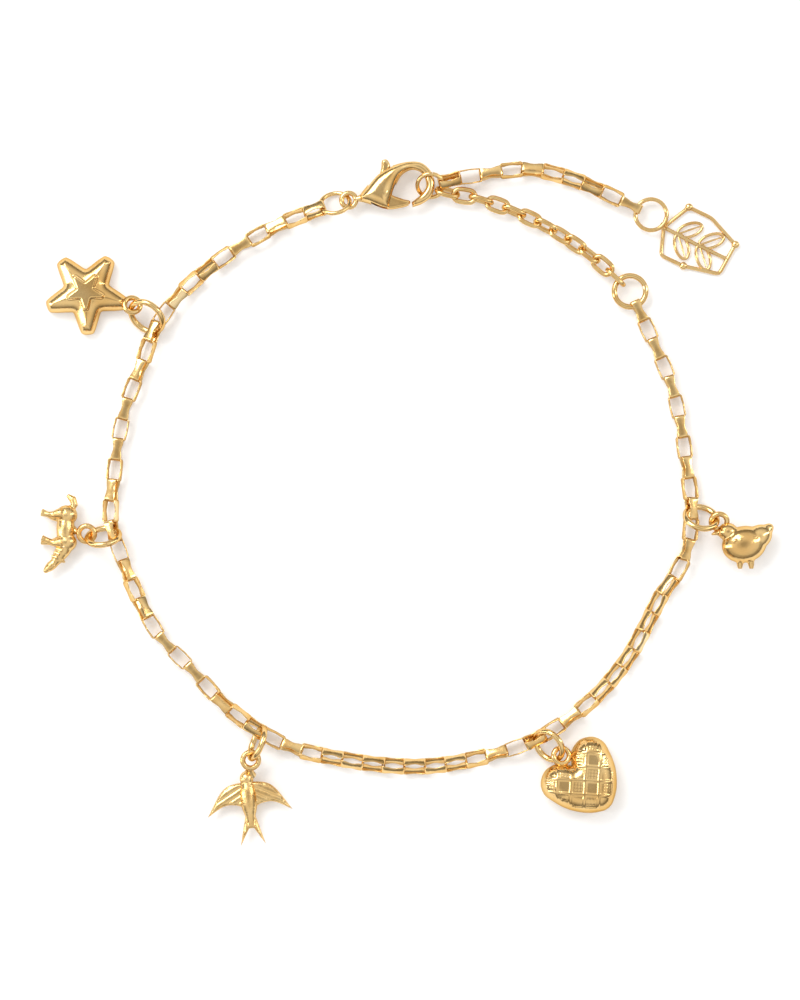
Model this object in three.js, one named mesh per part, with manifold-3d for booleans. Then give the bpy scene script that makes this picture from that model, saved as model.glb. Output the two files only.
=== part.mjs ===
// Gold charm bracelet, laid out flat in a loop: millimetres, +Z up.
import * as THREE from 'three';
import { mergeVertices } from 'three/addons/utils/BufferGeometryUtils.js';
import Module from 'manifold-3d';

const wasm = await Module();
wasm.setup();

// Driving sizes of the chains and rings
const boxLink = { pitch: 2.25, width: 1.52, strip: 1.02, thickness: 0.17, bite: 0.03 };
const cableLink = { pitch: 1.82, width: 1.9, wire: 0.52, bite: 0.1 };
const runningGap = 0.15;
const nodeGap = 0.14;
const holdReach = 4;
const claspHold = { along: 0, roll: -30.6 };
const jumpRing = { radius: 1.72, wire: 0.6 };
const starRing = { radius: 1.95, wire: 0.6 };
const claspRing = { radius: 1.6, wire: 0.46 };
const extenderRing = { radius: 1.7, wire: 0.6 };
const tagRing = { radius: 1.7, wire: 0.45 };
const charmEye = { radius: 0.85, wire: 0.5 };

// Driving sizes of the clasp
const clasp = {
  length: 9.6, width: 4.25, thickness: 2.4, hookThickness: 1.05, edge: 0.2, turn: 9,
  eyeRadius: 0.78, eyeWire: 0.46, pinRadius: 0.34, fromRing: [1.498, 0.348],
};
const pinX = clasp.length * 0.375;
const pinY = clasp.width * 0.047;
const lever = {
  thickness: 0.9, clearance: 0.2, edge: 0.08, slotFrom: clasp.length * 0.245, slotTo: clasp.length * 0.552,
};
const hookRing = { radius: clasp.length * 0.148, wire: clasp.length * 0.048 };

// Driving sizes of the charms
const star = { radius: 4.4, notch: 2.5, blunt: 11, thickness: 2.35, innerRadius: 1.9, innerNotch: 0.98 };
const heart = { width: 8.5, length: 7.5, thickness: 3.3, rib: 0.24, relief: 0.14, spacing: 1.5 };
const steed = { length: 4.3, girth: 2.3, leg: 0.7, legLength: 2.0 };
const swallow = { length: 7.2, span: 9.2, girth: 1.9, wing: 0.8 };
const bird = { length: 4.9, height: 4.0, thickness: 3.1 };
const tag = {
  length: 8.1, width: 7.3, wire: 0.42, bead: 0.85, leaf: 2.8, leafWidth: 1.4, leafSpread: 46,
  fromRing: [5.15, -2.75],
};

// Places of the rings that end the chains: x, y and height of the centre, way it points, tilt
const claspRingPlace = {
  ring: claspRing, x: -7.058, y: 32.232, z: 1.269, turn: 193.66, tilt: 39.94, slope: 2.34,
};
const claspEyeAt = new THREE.Vector2(claspRingPlace.x, claspRingPlace.y)
  .add(new THREE.Vector2(...clasp.fromRing));
const hookSeat = new THREE.Vector2(clasp.length * 0.9379, clasp.width * 0.0451)
  .rotateAround(new THREE.Vector2(), THREE.MathUtils.degToRad(clasp.turn))
  .add(claspEyeAt);
const hookRingPlace = {
  ring: hookRing, x: hookSeat.x, y: hookSeat.y, z: 1.197, turn: -10.73, tilt: 36.24, slope: -5.81,
};
const extenderRingPlace = { ring: extenderRing, x: 24.95, y: 22.68, z: 0.88, turn: 0, tilt: 0 };
const tagRingPlace = { ring: tagRing, x: 27.27, y: 31.05, z: 0.8, turn: 0, tilt: 0 };

// Route of the main chain, from the clasp ring round to the extender ring: x, y, roll in degrees
const mainRoute = [
  [-13.2, 29.9, 0], [-17.2, 27.7, 0], [-21.0, 25.0, 40], [-24.3, 21.9, 40], [-26.7, 18.4, 0],
  [-27.7, 15.4, 0], [-29.5, 10.8, 0], [-30.5, 6.4, 0], [-31.0, 1.8, 0], [-31.3, -2.1, 0],
  [-29.9, -6.6, 40], [-28.1, -10.9, 40], [-26.1, -14.5, 0], [-22.4, -18.3, 0], [-19.4, -21.6, 0],
  [-15.9, -24.4, 0], [-11.6, -26.7, 35], [-6.8, -27.8, 45], [-2.3, -28.5, 45], [2.6, -28.7, 45],
  [7.1, -28.1, 45], [12.1, -26.8, 30], [15.0, -25.6, 0], [18.3, -23.5, 35], [21.5, -20.8, 45],
  [24.8, -16.7, 45], [26.8, -13.0, 45], [28.3, -10.1, 45], [29.9, -7.9, 30], [31.0, -5.5, 0],
  [31.4, -3.4, 0], [31.5, -0.3, 0], [31.0, 3.8, 0], [30.4, 8.1, 0], [29.4, 12.5, 0],
  [27.9, 16.2, 0], [26.2, 20.0, 0],
];

// Route of the short tail chain, from the hook ring to the tag ring: x, y, roll in degrees
const tailRoute = [
  [hookRingPlace.x + hookRing.radius * 1.828, hookRingPlace.y + hookRing.radius * 0.534, -48.6],
  [8.3, 35.3, 0], [10.5, 35.7, 0], [12.6, 36.0, 0], [14.6, 36.0, 0], [16.8, 35.5, 0], [18.9, 34.9, 0],
  [21.1, 34.0, 0], [23.2, 33.0, 0], [24.95, 32.15, 0],
];

// Route of the cable chain, from the hook ring to the extender ring: x, y, roll in degrees
const cableRoute = [
  [hookRingPlace.x + hookRing.radius * 1.1134, hookRingPlace.y - hookRing.radius * 0.5138, -36.5],
  [7.7, 33.0, 0], [10.3, 32.2, 0], [12.9, 31.2, 0], [15.4, 30.0, 0],
  [17.7, 28.7, 0], [19.9, 27.2, 0], [22.0, 25.5, 0], [23.6, 24.0, 0],
];

// Where each charm hangs. along and roll: the link that its ring holds, as a share of the chain, and
// how far it rolls. ring: the ring's middle from that link, height from the ground. eye: the charm's
// eye from the ring's middle, height from the ground. Both in ring radii, and the turns in degrees.
const hangings = [
  {
    charm: 'star', holds: starRing, along: 0.141, roll: -24,
    ring: [-0.36, 0.79, 0.927], turn: -31.8, tilt: 50.2, slope: 2.6,
    eye: [-0.81, 0.65, 0.884], eyeTilt: -20.5,
  },
  {
    charm: 'steed', holds: jumpRing, along: 0.282, roll: -31,
    ring: [-0.563, -0.365, 1.086], turn: 5.4, tilt: -56.6, slope: 1.3,
    eye: [-1.069, 0.19, 0.808], eyeTilt: 11.2,
  },
  {
    charm: 'swallow', holds: jumpRing, along: 0.451, roll: -38,
    ring: [0.153, -0.946, 1.132], turn: 67.9, tilt: -72.2, slope: 1.7,
    eye: [-0.41, -1.04, 1.028], eyeTilt: 9.7,
  },
  {
    charm: 'heart', holds: jumpRing, along: 0.648, roll: -34,
    ring: [0.829, -0.377, 0.981], turn: -55.9, tilt: 48.2, slope: -3.6,
    eye: [0.77, -0.63, 1.143], eyeTilt: -11.3,
  },
  {
    charm: 'bird', holds: jumpRing, along: 0.845, roll: -17,
    ring: [0.573, -0.59, 0.959], turn: -2.8, tilt: -45, slope: -9.3,
    eye: [1.12, -0.24, 0.952], eyeTilt: 19,
  },
];

// Finish
const gold = (name, colour, roughness) => {
  const metal = new THREE.MeshStandardMaterial({ color: colour, roughness, metalness: 1 });
  metal.name = name;
  return metal;
};
const chainGold = gold('chain gold', 0xe0b86c, 0.18);
const ringGold = gold('ring gold', 0xe6bd6e, 0.15);
const castGold = gold('cast gold', 0xe3b864, 0.22);

const radians = THREE.MathUtils.degToRad;
const up = new THREE.Vector3(0, 0, 1);

// Solids and the joining of them
function solid(geometry) {
  geometry.deleteAttribute('normal');
  geometry.deleteAttribute('uv');
  const merged = mergeVertices(geometry, 1e-5);
  const vertProperties = new Float32Array(merged.attributes.position.array);
  const triVerts = new Uint32Array(merged.index.array);
  const mesh = new wasm.Mesh({ numProp: 3, vertProperties, triVerts });
  mesh.merge();
  return new wasm.Manifold(mesh);
}

function join(solids) {
  return solids.reduce((sum, next) => sum.add(next));
}

function piece(name, material, body) {
  const mesh = body.getMesh();
  const geometry = new THREE.BufferGeometry();
  geometry.setAttribute('position', new THREE.BufferAttribute(new Float32Array(mesh.vertProperties), 3));
  geometry.setIndex(new THREE.BufferAttribute(new Uint32Array(mesh.triVerts), 1));
  geometry.computeVertexNormals();
  const made = new THREE.Mesh(geometry, material);
  made.name = name;
  return made;
}

// A closed solid through level outlines that all have the same number of points
function stacked(levels) {
  const count = levels[0].length;
  const points = levels.flat();
  const faces = [];
  for (let level = 0; level < levels.length - 1; level += 1) {
    for (let i = 0; i < count; i += 1) {
      const a = level * count + i;
      const b = level * count + (i + 1) % count;
      faces.push(a, b, b + count, a, b + count, a + count);
    }
  }
  const cap = (outline) => THREE.ShapeUtils.triangulateShape(outline, []);
  const top = (levels.length - 1) * count;
  cap(levels[0]).forEach(([a, b, c]) => faces.push(a, c, b));
  cap(levels[levels.length - 1]).forEach(([a, b, c]) => faces.push(top + a, top + b, top + c));
  const geometry = new THREE.BufferGeometry();
  const positions = points.flatMap((point) => [point.x, point.y, point.z]);
  geometry.setAttribute('position', new THREE.Float32BufferAttribute(positions, 3));
  geometry.setIndex(faces);
  return solid(geometry);
}

// A rounded lump with its own length, breadth and height, turned in the plane
function lump(x, y, z, length, breadth, height, turn = 0, sides = 10) {
  const geometry = new THREE.SphereGeometry(0.5, sides, sides - 4);
  geometry.scale(length, breadth, height);
  geometry.rotateZ(radians(turn));
  geometry.translate(x, y, z);
  return solid(geometry);
}

// A round bar between two points, its radius changing from one end to the other
function bar(from, to, startRadius, endRadius, sides = 6) {
  const start = from.isVector3 ? from : new THREE.Vector3(...from);
  const end = to.isVector3 ? to : new THREE.Vector3(...to);
  const geometry = new THREE.CylinderGeometry(endRadius, startRadius, start.distanceTo(end), sides);
  const along = end.clone().sub(start).normalize();
  const turn = new THREE.Quaternion().setFromUnitVectors(new THREE.Vector3(0, 1, 0), along);
  const middle = start.clone().add(end).multiplyScalar(0.5);
  return solid(geometry.applyMatrix4(new THREE.Matrix4().compose(middle, turn, new THREE.Vector3(1, 1, 1))));
}

// One ring of round wire, and the placing of it, tilted about the line that it points along
function ringSolid(ring) {
  return solid(new THREE.TorusGeometry(ring.radius, ring.wire / 2, 5, 15));
}

function ringPiece(name, { ring, x, y, z, turn, tilt, slope = 0 }) {
  const made = piece(name, ringGold, ringSolid(ring));
  made.position.set(x, y, z);
  made.rotation.set(radians(tilt), radians(-slope), radians(turn), 'ZYX');
  return made;
}

// Box link: a square-cornered frame bent from flat strip, lying along X
function boxLinkGeometry(span) {
  const { width, strip, thickness, bite } = boxLink;
  const halfLength = span / 2 + thickness - bite / 2;
  const halfWidth = width / 2;
  const frame = (inset) => [
    new THREE.Vector2(halfLength - inset, halfWidth - inset),
    new THREE.Vector2(inset - halfLength, halfWidth - inset),
    new THREE.Vector2(inset - halfLength, inset - halfWidth),
    new THREE.Vector2(halfLength - inset, inset - halfWidth),
  ];
  const shape = new THREE.Shape(frame(0));
  shape.holes.push(new THREE.Path(frame(thickness)));
  const geometry = new THREE.ExtrudeGeometry(shape, { depth: strip, bevelEnabled: false });
  return geometry.translate(0, 0, -strip / 2);
}

// Cable link: a ring of round wire drawn out into an oval along X
function cableLinkGeometry(span) {
  const { width, wire, bite } = cableLink;
  const bend = (width - wire) / 2;
  const stretch = (span + wire - bite) / 2 - bend;
  const steps = 10;
  const geometry = new THREE.TorusGeometry(bend, wire / 2, 5, steps);
  const at = geometry.attributes.position;
  for (let i = 0; i < at.count; i += 1) {
    at.setX(i, at.getX(i) + Math.sign(at.getX(i)) * stretch);
  }
  return geometry;
}

// Half of the height that two crossed links take up at a roll
function boxHalfHeight(roll) {
  const c = Math.abs(Math.cos(roll));
  const s = Math.abs(Math.sin(roll));
  const half = { flat: boxLink.strip / 2, tall: boxLink.width / 2 };
  return Math.max(c * half.flat + s * half.tall, s * half.flat + c * half.tall);
}

function cableHalfHeight(roll) {
  const c = Math.abs(Math.cos(roll));
  const s = Math.abs(Math.sin(roll));
  const bend = (cableLink.width - cableLink.wire) / 2;
  return Math.max(c, s) * bend + cableLink.wire / 2;
}

// The links of a chain along its route: each one's middle, direction and roll.
// Links alternate by a quarter turn, and holds roll a few links towards the ring that hangs there.
function linksAlong({ route, start, end, pitch, halfHeight, holds = [], splitShare = 1, startLift = 0 }) {
  const rows = [[start.x, start.y, 0], ...route, [end.x, end.y, 0]];
  const curve = new THREE.CatmullRomCurve3(rows.map(([x, y]) => new THREE.Vector3(x, y, 0)));
  curve.arcLengthDivisions = 1200;
  const length = curve.getLength();
  const first = start.ring.radius - start.ring.wire / 2 - runningGap;
  const last = length - (end.ring.radius - end.ring.wire / 2 - runningGap);
  const count = Math.round((last - first) / pitch);
  const spacing = (last - first) / count;
  const endTwist = count % 2 === 0 ? 90 : 0;
  const held = holds.map((hold) => ({ roll: hold.roll, link: 2 * Math.round((hold.along * count) / 2) }));
  const rollOf = (step) => {
    const t = curve.getUtoTmapping((first + step * spacing) / length) * (rows.length - 1);
    const row = Math.min(Math.floor(t), rows.length - 2);
    const routeRoll = THREE.MathUtils.lerp(rows[row][2], rows[row + 1][2], t - row);
    const holdShare = (link) => Math.max(0, 1 - Math.abs(step - 0.5 - link) / holdReach);
    const hold = held.reduce((sum, h) => sum + h.roll * holdShare(h.link), 0);
    return radians(routeRoll + hold + endTwist * (step / count) ** 2);
  };
  const joints = [];
  for (let i = 0; i <= count; i += 1) {
    const at = curve.getPointAt((first + i * spacing) / length);
    const lift = startLift * Math.max(0, 1 - i / holdReach);
    joints.push(new THREE.Vector3(at.x, at.y, halfHeight(rollOf(i)) + lift));
  }
  const split = Math.round(count * splitShare);
  const links = [];
  for (let i = 0; i < count; i += 1) {
    const along = joints[i + 1].clone().sub(joints[i]).normalize();
    const from = joints[i].clone().addScaledVector(along, i === split ? -nodeGap / 2 : 0);
    const before = i === split - 1 && split < count ? nodeGap / 2 : 0;
    const to = joints[i + 1].clone().addScaledVector(along, before);
    const middle = from.clone().add(to).multiplyScalar(0.5);
    middle.z = Math.max(middle.z, halfHeight(rollOf(i + 0.5)));
    const quarter = i % 2 === 0 ? Math.PI / 2 : 0;
    links.push({ middle, along, span: from.distanceTo(to), roll: rollOf(i + 0.5) + quarter });
  }
  return { links, split, heldLinks: held.map((h) => links[h.link]) };
}

function linkMatrix({ middle, along, roll }) {
  const side = new THREE.Vector3().crossVectors(up, along).normalize();
  const lift = new THREE.Vector3().crossVectors(along, side);
  const y = side.clone().multiplyScalar(Math.cos(roll)).addScaledVector(lift, -Math.sin(roll));
  const z = new THREE.Vector3().crossVectors(along, y);
  return new THREE.Matrix4().makeBasis(along, y, z).setPosition(middle);
}

function chainSolid(links, linkGeometry) {
  return join(links.map((link) => solid(linkGeometry(link.span).applyMatrix4(linkMatrix(link)))));
}

const main = linksAlong({
  route: mainRoute, start: claspRingPlace, end: extenderRingPlace,
  pitch: boxLink.pitch, halfHeight: boxHalfHeight, holds: [...hangings, claspHold],
  splitShare: 0.55, startLift: 0.258,
});
const tail = linksAlong({
  route: tailRoute, start: hookRingPlace, end: tagRingPlace,
  pitch: boxLink.pitch, halfHeight: boxHalfHeight, startLift: 0.275,
});
const cable = linksAlong({
  route: cableRoute, start: hookRingPlace, end: extenderRingPlace,
  pitch: cableLink.pitch, halfHeight: cableHalfHeight,
});

// Clasp: a cast hook with its eye, slit for the lever, and the lever on its pin. X runs towards the hook.
const claspOuter = [
  [0.7, -0.87], [0.82, -0.76], [0.935, -0.44], [0.99, 0.19], [0.965, 0.84], [0.87, 1.33], [0.73, 1.47],
  [0.58, 1.42], [0.46, 1.3], [0.335, 1.01], [0.22, 0.54], [0.135, 0.16], [0.135, -0.14],
  [0.22, -0.35], [0.345, -0.7], [0.45, -0.87],
];
const claspInner = [
  [0.46, -0.56], [0.51, -0.05], [0.568, 0.47], [0.646, 0.87], [0.75, 1.03], [0.844, 0.87],
  [0.896, 0.47], [0.896, 0.05], [0.833, -0.33], [0.76, -0.54], [0.698, -0.63],
];
const leverOutline = [
  [0.437, -0.79], [0.61, -0.79], [0.67, -0.7], [0.68, -0.52], [0.6, -0.36], [0.475, 0], [0.458, 0.56],
  [0.52, 1.36], [0.505, 1.71], [0.474, 1.78], [0.437, 1.71], [0.411, 1.27], [0.333, 0.47],
  [0.302, 0.09], [0.333, -0.28], [0.406, -0.52],
];

function claspShape(rows) {
  const halfWidth = clasp.width / 2;
  return rows.map(([x, y]) => new THREE.Vector2(x * clasp.length, y * halfWidth));
}

function slab(outline, thickness, edge) {
  const shape = new THREE.Shape(outline);
  const bevel = { bevelThickness: edge, bevelSize: edge, bevelOffset: -edge, bevelSegments: 1 };
  const geometry = new THREE.ExtrudeGeometry(shape, { depth: thickness - 2 * edge, ...bevel });
  geometry.translate(0, 0, edge - thickness / 2);
  return geometry;
}

function claspPin(radius) {
  const pin = new THREE.CylinderGeometry(radius, radius, clasp.thickness - clasp.edge, 10);
  pin.rotateX(Math.PI / 2);
  pin.translate(pinX, pinY, 0);
  return solid(pin);
}

function claspBody() {
  const geometry = slab(claspShape([...claspOuter, ...claspInner]), clasp.thickness, clasp.edge);
  const at = geometry.attributes.position;
  for (let i = 0; i < at.count; i += 1) {
    const share = THREE.MathUtils.smoothstep(at.getX(i), clasp.length * 0.52, clasp.length * 0.86);
    at.setZ(i, at.getZ(i) * THREE.MathUtils.lerp(1, clasp.hookThickness / clasp.thickness, share));
  }
  const { slotFrom, slotTo, thickness, clearance } = lever;
  const slot = new THREE.BoxGeometry(slotTo - slotFrom, clasp.length, thickness + 2 * clearance);
  slot.translate((slotFrom + slotTo) / 2, 0, 0);
  const eye = new THREE.TorusGeometry(clasp.eyeRadius, clasp.eyeWire / 2, 6, 14);
  const neck = bar([clasp.eyeRadius, 0, 0], [clasp.length * 0.2, 0, 0], clasp.eyeWire / 2, clasp.width / 8);
  return join([solid(geometry).subtract(solid(slot)), claspPin(clasp.pinRadius), solid(eye), neck]);
}

function claspLever() {
  const arm = solid(slab(claspShape(leverOutline), lever.thickness, lever.edge));
  return arm.subtract(claspPin(clasp.pinRadius + lever.clearance));
}

// A charm's eye: a small ring of wire on a short neck, where the charm's own turn puts it
function eyeSolid({ at, turn, neck }, { height, eyeTurn, eyeTilt }) {
  const origin = new THREE.Vector2();
  const middle = new THREE.Vector2(-at.x, -at.y).rotateAround(origin, radians(-turn));
  const end = new THREE.Vector2(neck.x - at.x, neck.y - at.y).rotateAround(origin, radians(-turn));
  const start = middle.clone().lerp(end, charmEye.radius / middle.distanceTo(end));
  const from = [start.x, start.y, height];
  const to = [end.x, end.y, neck.z];
  const stem = bar(from, to, charmEye.wire * 0.5, charmEye.wire * 0.8);
  const ring = new THREE.TorusGeometry(charmEye.radius, charmEye.wire / 2, 5, 12);
  ring.rotateX(radians(eyeTilt));
  ring.rotateZ(radians(eyeTurn - turn));
  ring.translate(middle.x, middle.y, height);
  return solid(ring).add(stem);
}

function polar(radius, degrees, z = 0) {
  return new THREE.Vector3(radius * Math.cos(radians(degrees)), radius * Math.sin(radians(degrees)), z);
}

// Star: five blunt tips and ridges, a smaller raised star on top, flat at the back
function starOutline(share, notchShare, z) {
  const outline = [];
  for (let arm = 0; arm < 5; arm += 1) {
    const middle = arm * 72;
    outline.push(polar(star.radius * share * 0.92, middle - star.blunt, z));
    outline.push(polar(star.radius * share, middle, z));
    outline.push(polar(star.radius * share * 0.92, middle + star.blunt, z));
    outline.push(polar(star.notch * notchShare, middle + 36, z));
  }
  return outline;
}

function starCharm() {
  const inner = star.innerRadius / star.radius;
  const innerNotch = star.innerNotch / star.notch;
  const levels = [
    [0.9, 0.88, 0], [1, 1, 0.2], [0.98, 0.98, 0.45], [0.82, 0.78, 0.76],
    [inner * 1.12, innerNotch * 1.15, 0.92], [inner, innerNotch, 1],
  ];
  return stacked(levels.map(([tips, notches, z]) => starOutline(tips, notches, z * star.thickness)));
}

// Heart: a plump shell, flat at the back, with crossing ribs raised on its face.
// Right half of the outline from the notch down to the point: share of half the width, share of the length
const heartHalf = [
  [0, 0], [0.2, 0.14], [0.56, 0.195], [0.87, 0.11], [1, -0.04], [0.96, -0.2], [0.8, -0.44],
  [0.5, -0.66], [0.18, -0.785], [0, -0.81],
];

function heartOutline(share, z) {
  const left = heartHalf.slice(1, -1).reverse().map(([x, y]) => [-x, y]);
  const middle = -0.28 * heart.length;
  return [...heartHalf, ...left].reverse().map(([x, y]) => new THREE.Vector3(
    share * x * heart.width / 2, middle + share * (y * heart.length - middle), z,
  ));
}

function heartShell(swell) {
  const levels = [[0.8, 0], [0.97, 0.2], [1, 0.42], [0.96, 0.66], [0.84, 0.86], [0.64, 1]];
  return stacked(levels.map(([share, height]) => heartOutline(share, height * (heart.thickness + swell))));
}

function heartCharm() {
  const ribs = [];
  for (const slant of [-45, 45]) {
    for (let row = -1; row <= 1; row += 1) {
      const rib = new THREE.BoxGeometry(2 * heart.width, heart.rib, heart.thickness);
      rib.translate(0, row * heart.spacing, heart.thickness);
      rib.rotateZ(radians(slant));
      rib.translate(0, -0.28 * heart.length, 0);
      ribs.push(solid(rib));
    }
  }
  const raised = join(ribs).intersect(heartShell(heart.relief));
  return heartShell(0).add(raised);
}

// Four-legged animal lying on its side, its back to the chain and its head low
function steedCharm() {
  const { length, girth, leg, legLength } = steed;
  const z = girth / 2;
  const legAt = (along, spread, height) => bar([along * length, -girth * 0.2, height],
    [(along + spread) * length, -girth * 0.3 - legLength, height], leg * 0.75, leg * 0.42);
  const parts = [
    lump(0, 0, z, length, girth, girth, 0, 8),
    lump(-length * 0.36, girth * 0.12, z, girth * 1.15, girth * 1.1, girth * 0.96, 0, 8),
    lump(length * 0.36, girth * 0.1, z, girth * 1.05, girth * 1.1, girth * 0.96, 0, 8),
    bar([length * 0.38, girth * 0.1, z], [length * 0.84, -girth * 0.56, z], girth * 0.42, girth * 0.24, 8),
    lump(length * 0.94, -girth * 0.8, z, girth * 1.05, girth * 0.46, girth * 0.5, -48, 8),
    bar([length * 0.8, -girth * 0.3, z], [length * 0.84, girth * 0.02, z], girth * 0.12, girth * 0.05, 5),
    bar([-length * 0.48, girth * 0.3, z], [-length * 0.8, girth * 0.5, z], girth * 0.14, girth * 0.2, 5),
    bar([-length * 0.78, girth * 0.5, z], [-length * 0.95, girth * 0.1, z], girth * 0.2, girth * 0.08, 5),
    legAt(-0.3, -0.14, leg * 0.75), legAt(-0.4, 0.02, girth - leg * 0.75),
    legAt(0.3, 0.06, leg * 0.75), legAt(0.36, -0.1, girth - leg * 0.75),
  ];
  return join(parts);
}

// Swallow in flight: body, two swept wings and a forked tail, head towards the chain
function swallowCharm() {
  const { length, span, girth, wing } = swallow;
  const z = girth / 2;
  const feather = (rows, thickness) => {
    const outline = rows.map(([x, y]) => new THREE.Vector2(x * span / 2, y * length));
    return solid(slab(outline, thickness, thickness * 0.15).translate(0, 0, z));
  };
  const wingRows = [[0, 0.26], [0.3, 0.3], [0.62, 0.2], [1, -0.16], [0.6, -0.02], [0.3, -0.02], [0, -0.08]];
  const tailRows = [[-0.1, -0.15], [-0.3, -0.64], [-0.06, -0.38], [0.06, -0.38], [0.3, -0.64], [0.1, -0.15]];
  const mirrored = wingRows.map(([x, y]) => [-x, y]).reverse();
  const parts = [
    lump(0, 0.08 * length, z, girth, length * 0.66, girth, 0, 10),
    lump(0, 0.36 * length, z, girth * 0.78, girth * 0.85, girth * 0.8, 0, 10),
    bar([0, 0.4 * length, z], [girth * 0.1, 0.53 * length, z], girth * 0.16, girth * 0.04),
    feather(wingRows.reverse(), wing), feather(mirrored.reverse(), wing), feather(tailRows, wing * 0.8),
  ];
  return join(parts);
}

// Plump bird on its side, head to the left and two short feet
function birdCharm() {
  const { length, height, thickness } = bird;
  const z = thickness / 2;
  const parts = [
    lump(0, 0, z, length, height, thickness, 12, 12),
    lump(-length * 0.36, height * 0.34, z, length * 0.46, height * 0.5, thickness * 0.66, 0, 8),
    bar([-length * 0.5, height * 0.34, z], [-length * 0.74, height * 0.26, z], height * 0.1, height * 0.02),
    lump(length * 0.42, height * 0.22, z, length * 0.5, height * 0.36, thickness * 0.5, 32, 8),
    lump(
      length * 0.04, -height * 0.02, thickness * 0.84, length * 0.6, height * 0.44, thickness * 0.36, 18, 8,
    ),
    bar([-length * 0.08, -height * 0.4, z], [-length * 0.1, -height * 0.68, z], height * 0.1, height * 0.07),
    bar([length * 0.14, -height * 0.38, z], [length * 0.16, -height * 0.64, z], height * 0.1, height * 0.07),
  ];
  return join(parts);
}

// Open end tag: a wire frame with three beads, a leaf sprig inside, soldered to its ring
const tagFrame = [
  { x: -0.46, y: 0.2, bead: true }, { x: -0.5, y: -0.22 }, { x: -0.2, y: -0.38, bead: true },
  { x: 0.28, y: -0.5 },
  { x: 0.5, y: -0.06, bead: true }, { x: 0.18, y: 0.34 }, { x: -0.12, y: 0.5, bead: true },
];
const tagStem = [{ x: -0.46, y: 0.2 }, { x: -0.02, y: -0.06 }, { x: 0.39, y: -0.28 }];
const tagLeaves = [
  { along: 0.22, side: 1 }, { along: 0.22, side: -1 }, { along: 0.56, side: 1 }, { along: 0.56, side: -1 },
];

function tagLeaf({ along, side }, start, end) {
  const direction = Math.atan2(end.y - start.y, end.x - start.x) + radians(side * tag.leafSpread);
  const base = start.clone().lerp(end, along);
  const wire = tag.wire * 0.4;
  const leaf = new THREE.TorusGeometry(tag.leaf / 2, wire, 4, 8);
  leaf.scale(1, tag.leafWidth / tag.leaf, 1);
  leaf.translate(tag.leaf / 2, 0, 0);
  leaf.rotateZ(direction);
  leaf.translate(base.x, base.y, base.z);
  return solid(leaf);
}

function tagSolid() {
  const { length, width, wire, bead, fromRing } = tag;
  const low = wire / 2 - tagRingPlace.z;
  const spot = ({ x, y }) => new THREE.Vector3(fromRing[0] + x * length, fromRing[1] + y * width, low);
  const wires = (rows) => rows.slice(1).map((row, i) => bar(spot(rows[i]), spot(row), wire / 2, wire / 2, 5));
  const parts = [...wires([...tagFrame, tagFrame[0]]), ...wires(tagStem)];
  for (const { x, y } of tagFrame.filter((corner) => corner.bead)) {
    const middle = spot({ x, y });
    parts.push(lump(middle.x, middle.y, bead * 0.35 - tagRingPlace.z, bead, bead, bead * 0.7, 0, 7));
  }
  const stem = [spot(tagStem[0]), spot(tagStem[2])];
  tagLeaves.forEach((leaf) => parts.push(tagLeaf(leaf, ...stem)));
  const corner = spot(tagFrame[0]);
  const ringEdge = corner.clone().setZ(0).setLength(tagRing.radius);
  parts.push(bar(ringEdge, corner, wire * 0.7, wire * 0.7, 5), ringSolid(tagRing));
  return join(parts);
}

// Where each charm's body lies from its eye, and where the eye's short neck meets it
const charms = {
  star: {
    build: starCharm, turn: -16,
    at: { x: star.radius * -1.1477, y: star.radius * 0.3295 },
    neck: { x: star.radius * -0.4318, y: star.radius * 0.125, z: star.thickness * 0.383 },
  },
  steed: {
    build: steedCharm, turn: -90,
    at: { x: -steed.girth, y: steed.girth * 0.2174 },
    neck: { x: steed.girth * -0.6522, y: steed.girth * 0.1522, z: steed.girth * 0.413 },
  },
  swallow: {
    build: swallowCharm, turn: 6,
    at: { x: swallow.length * -0.0278, y: swallow.length * -0.6389 },
    neck: { x: 0, y: swallow.length * -0.2222, z: swallow.girth * 0.5 },
  },
  heart: {
    build: heartCharm, turn: 41.7,
    at: { x: heart.width * 0.1294, y: heart.length * -0.14 },
    neck: { x: heart.width * 0.0588, y: heart.length * -0.2, z: heart.thickness * 0.4545 },
  },
  bird: {
    build: birdCharm, turn: 0,
    at: { x: bird.length * 0.551, y: bird.height * -0.6125 },
    neck: { x: bird.length * 0.1939, y: bird.height * -0.25, z: bird.thickness * 0.4839 },
  },
};

const bracelet = new THREE.Group();
bracelet.add(
  piece('box_chain_left', chainGold, chainSolid(main.links.slice(0, main.split), boxLinkGeometry)),
  piece('box_chain_right', chainGold, chainSolid(main.links.slice(main.split), boxLinkGeometry)),
  piece('tail_box_chain', chainGold, chainSolid(tail.links, boxLinkGeometry)),
  piece('extender_cable_chain', chainGold, chainSolid(cable.links, cableLinkGeometry)),
  ringPiece('clasp_ring', claspRingPlace),
  ringPiece('hook_ring', hookRingPlace),
  ringPiece('extender_ring', extenderRingPlace),
);

const claspGroup = new THREE.Group();
claspGroup.position.set(claspEyeAt.x, claspEyeAt.y, clasp.thickness / 2);
claspGroup.rotation.z = radians(clasp.turn);
claspGroup.add(piece('clasp_body', castGold, claspBody()), piece('clasp_lever', castGold, claspLever()));
bracelet.add(claspGroup);

const endTag = piece('end_tag', castGold, tagSolid());
endTag.position.set(tagRingPlace.x, tagRingPlace.y, tagRingPlace.z);
bracelet.add(endTag);

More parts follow.
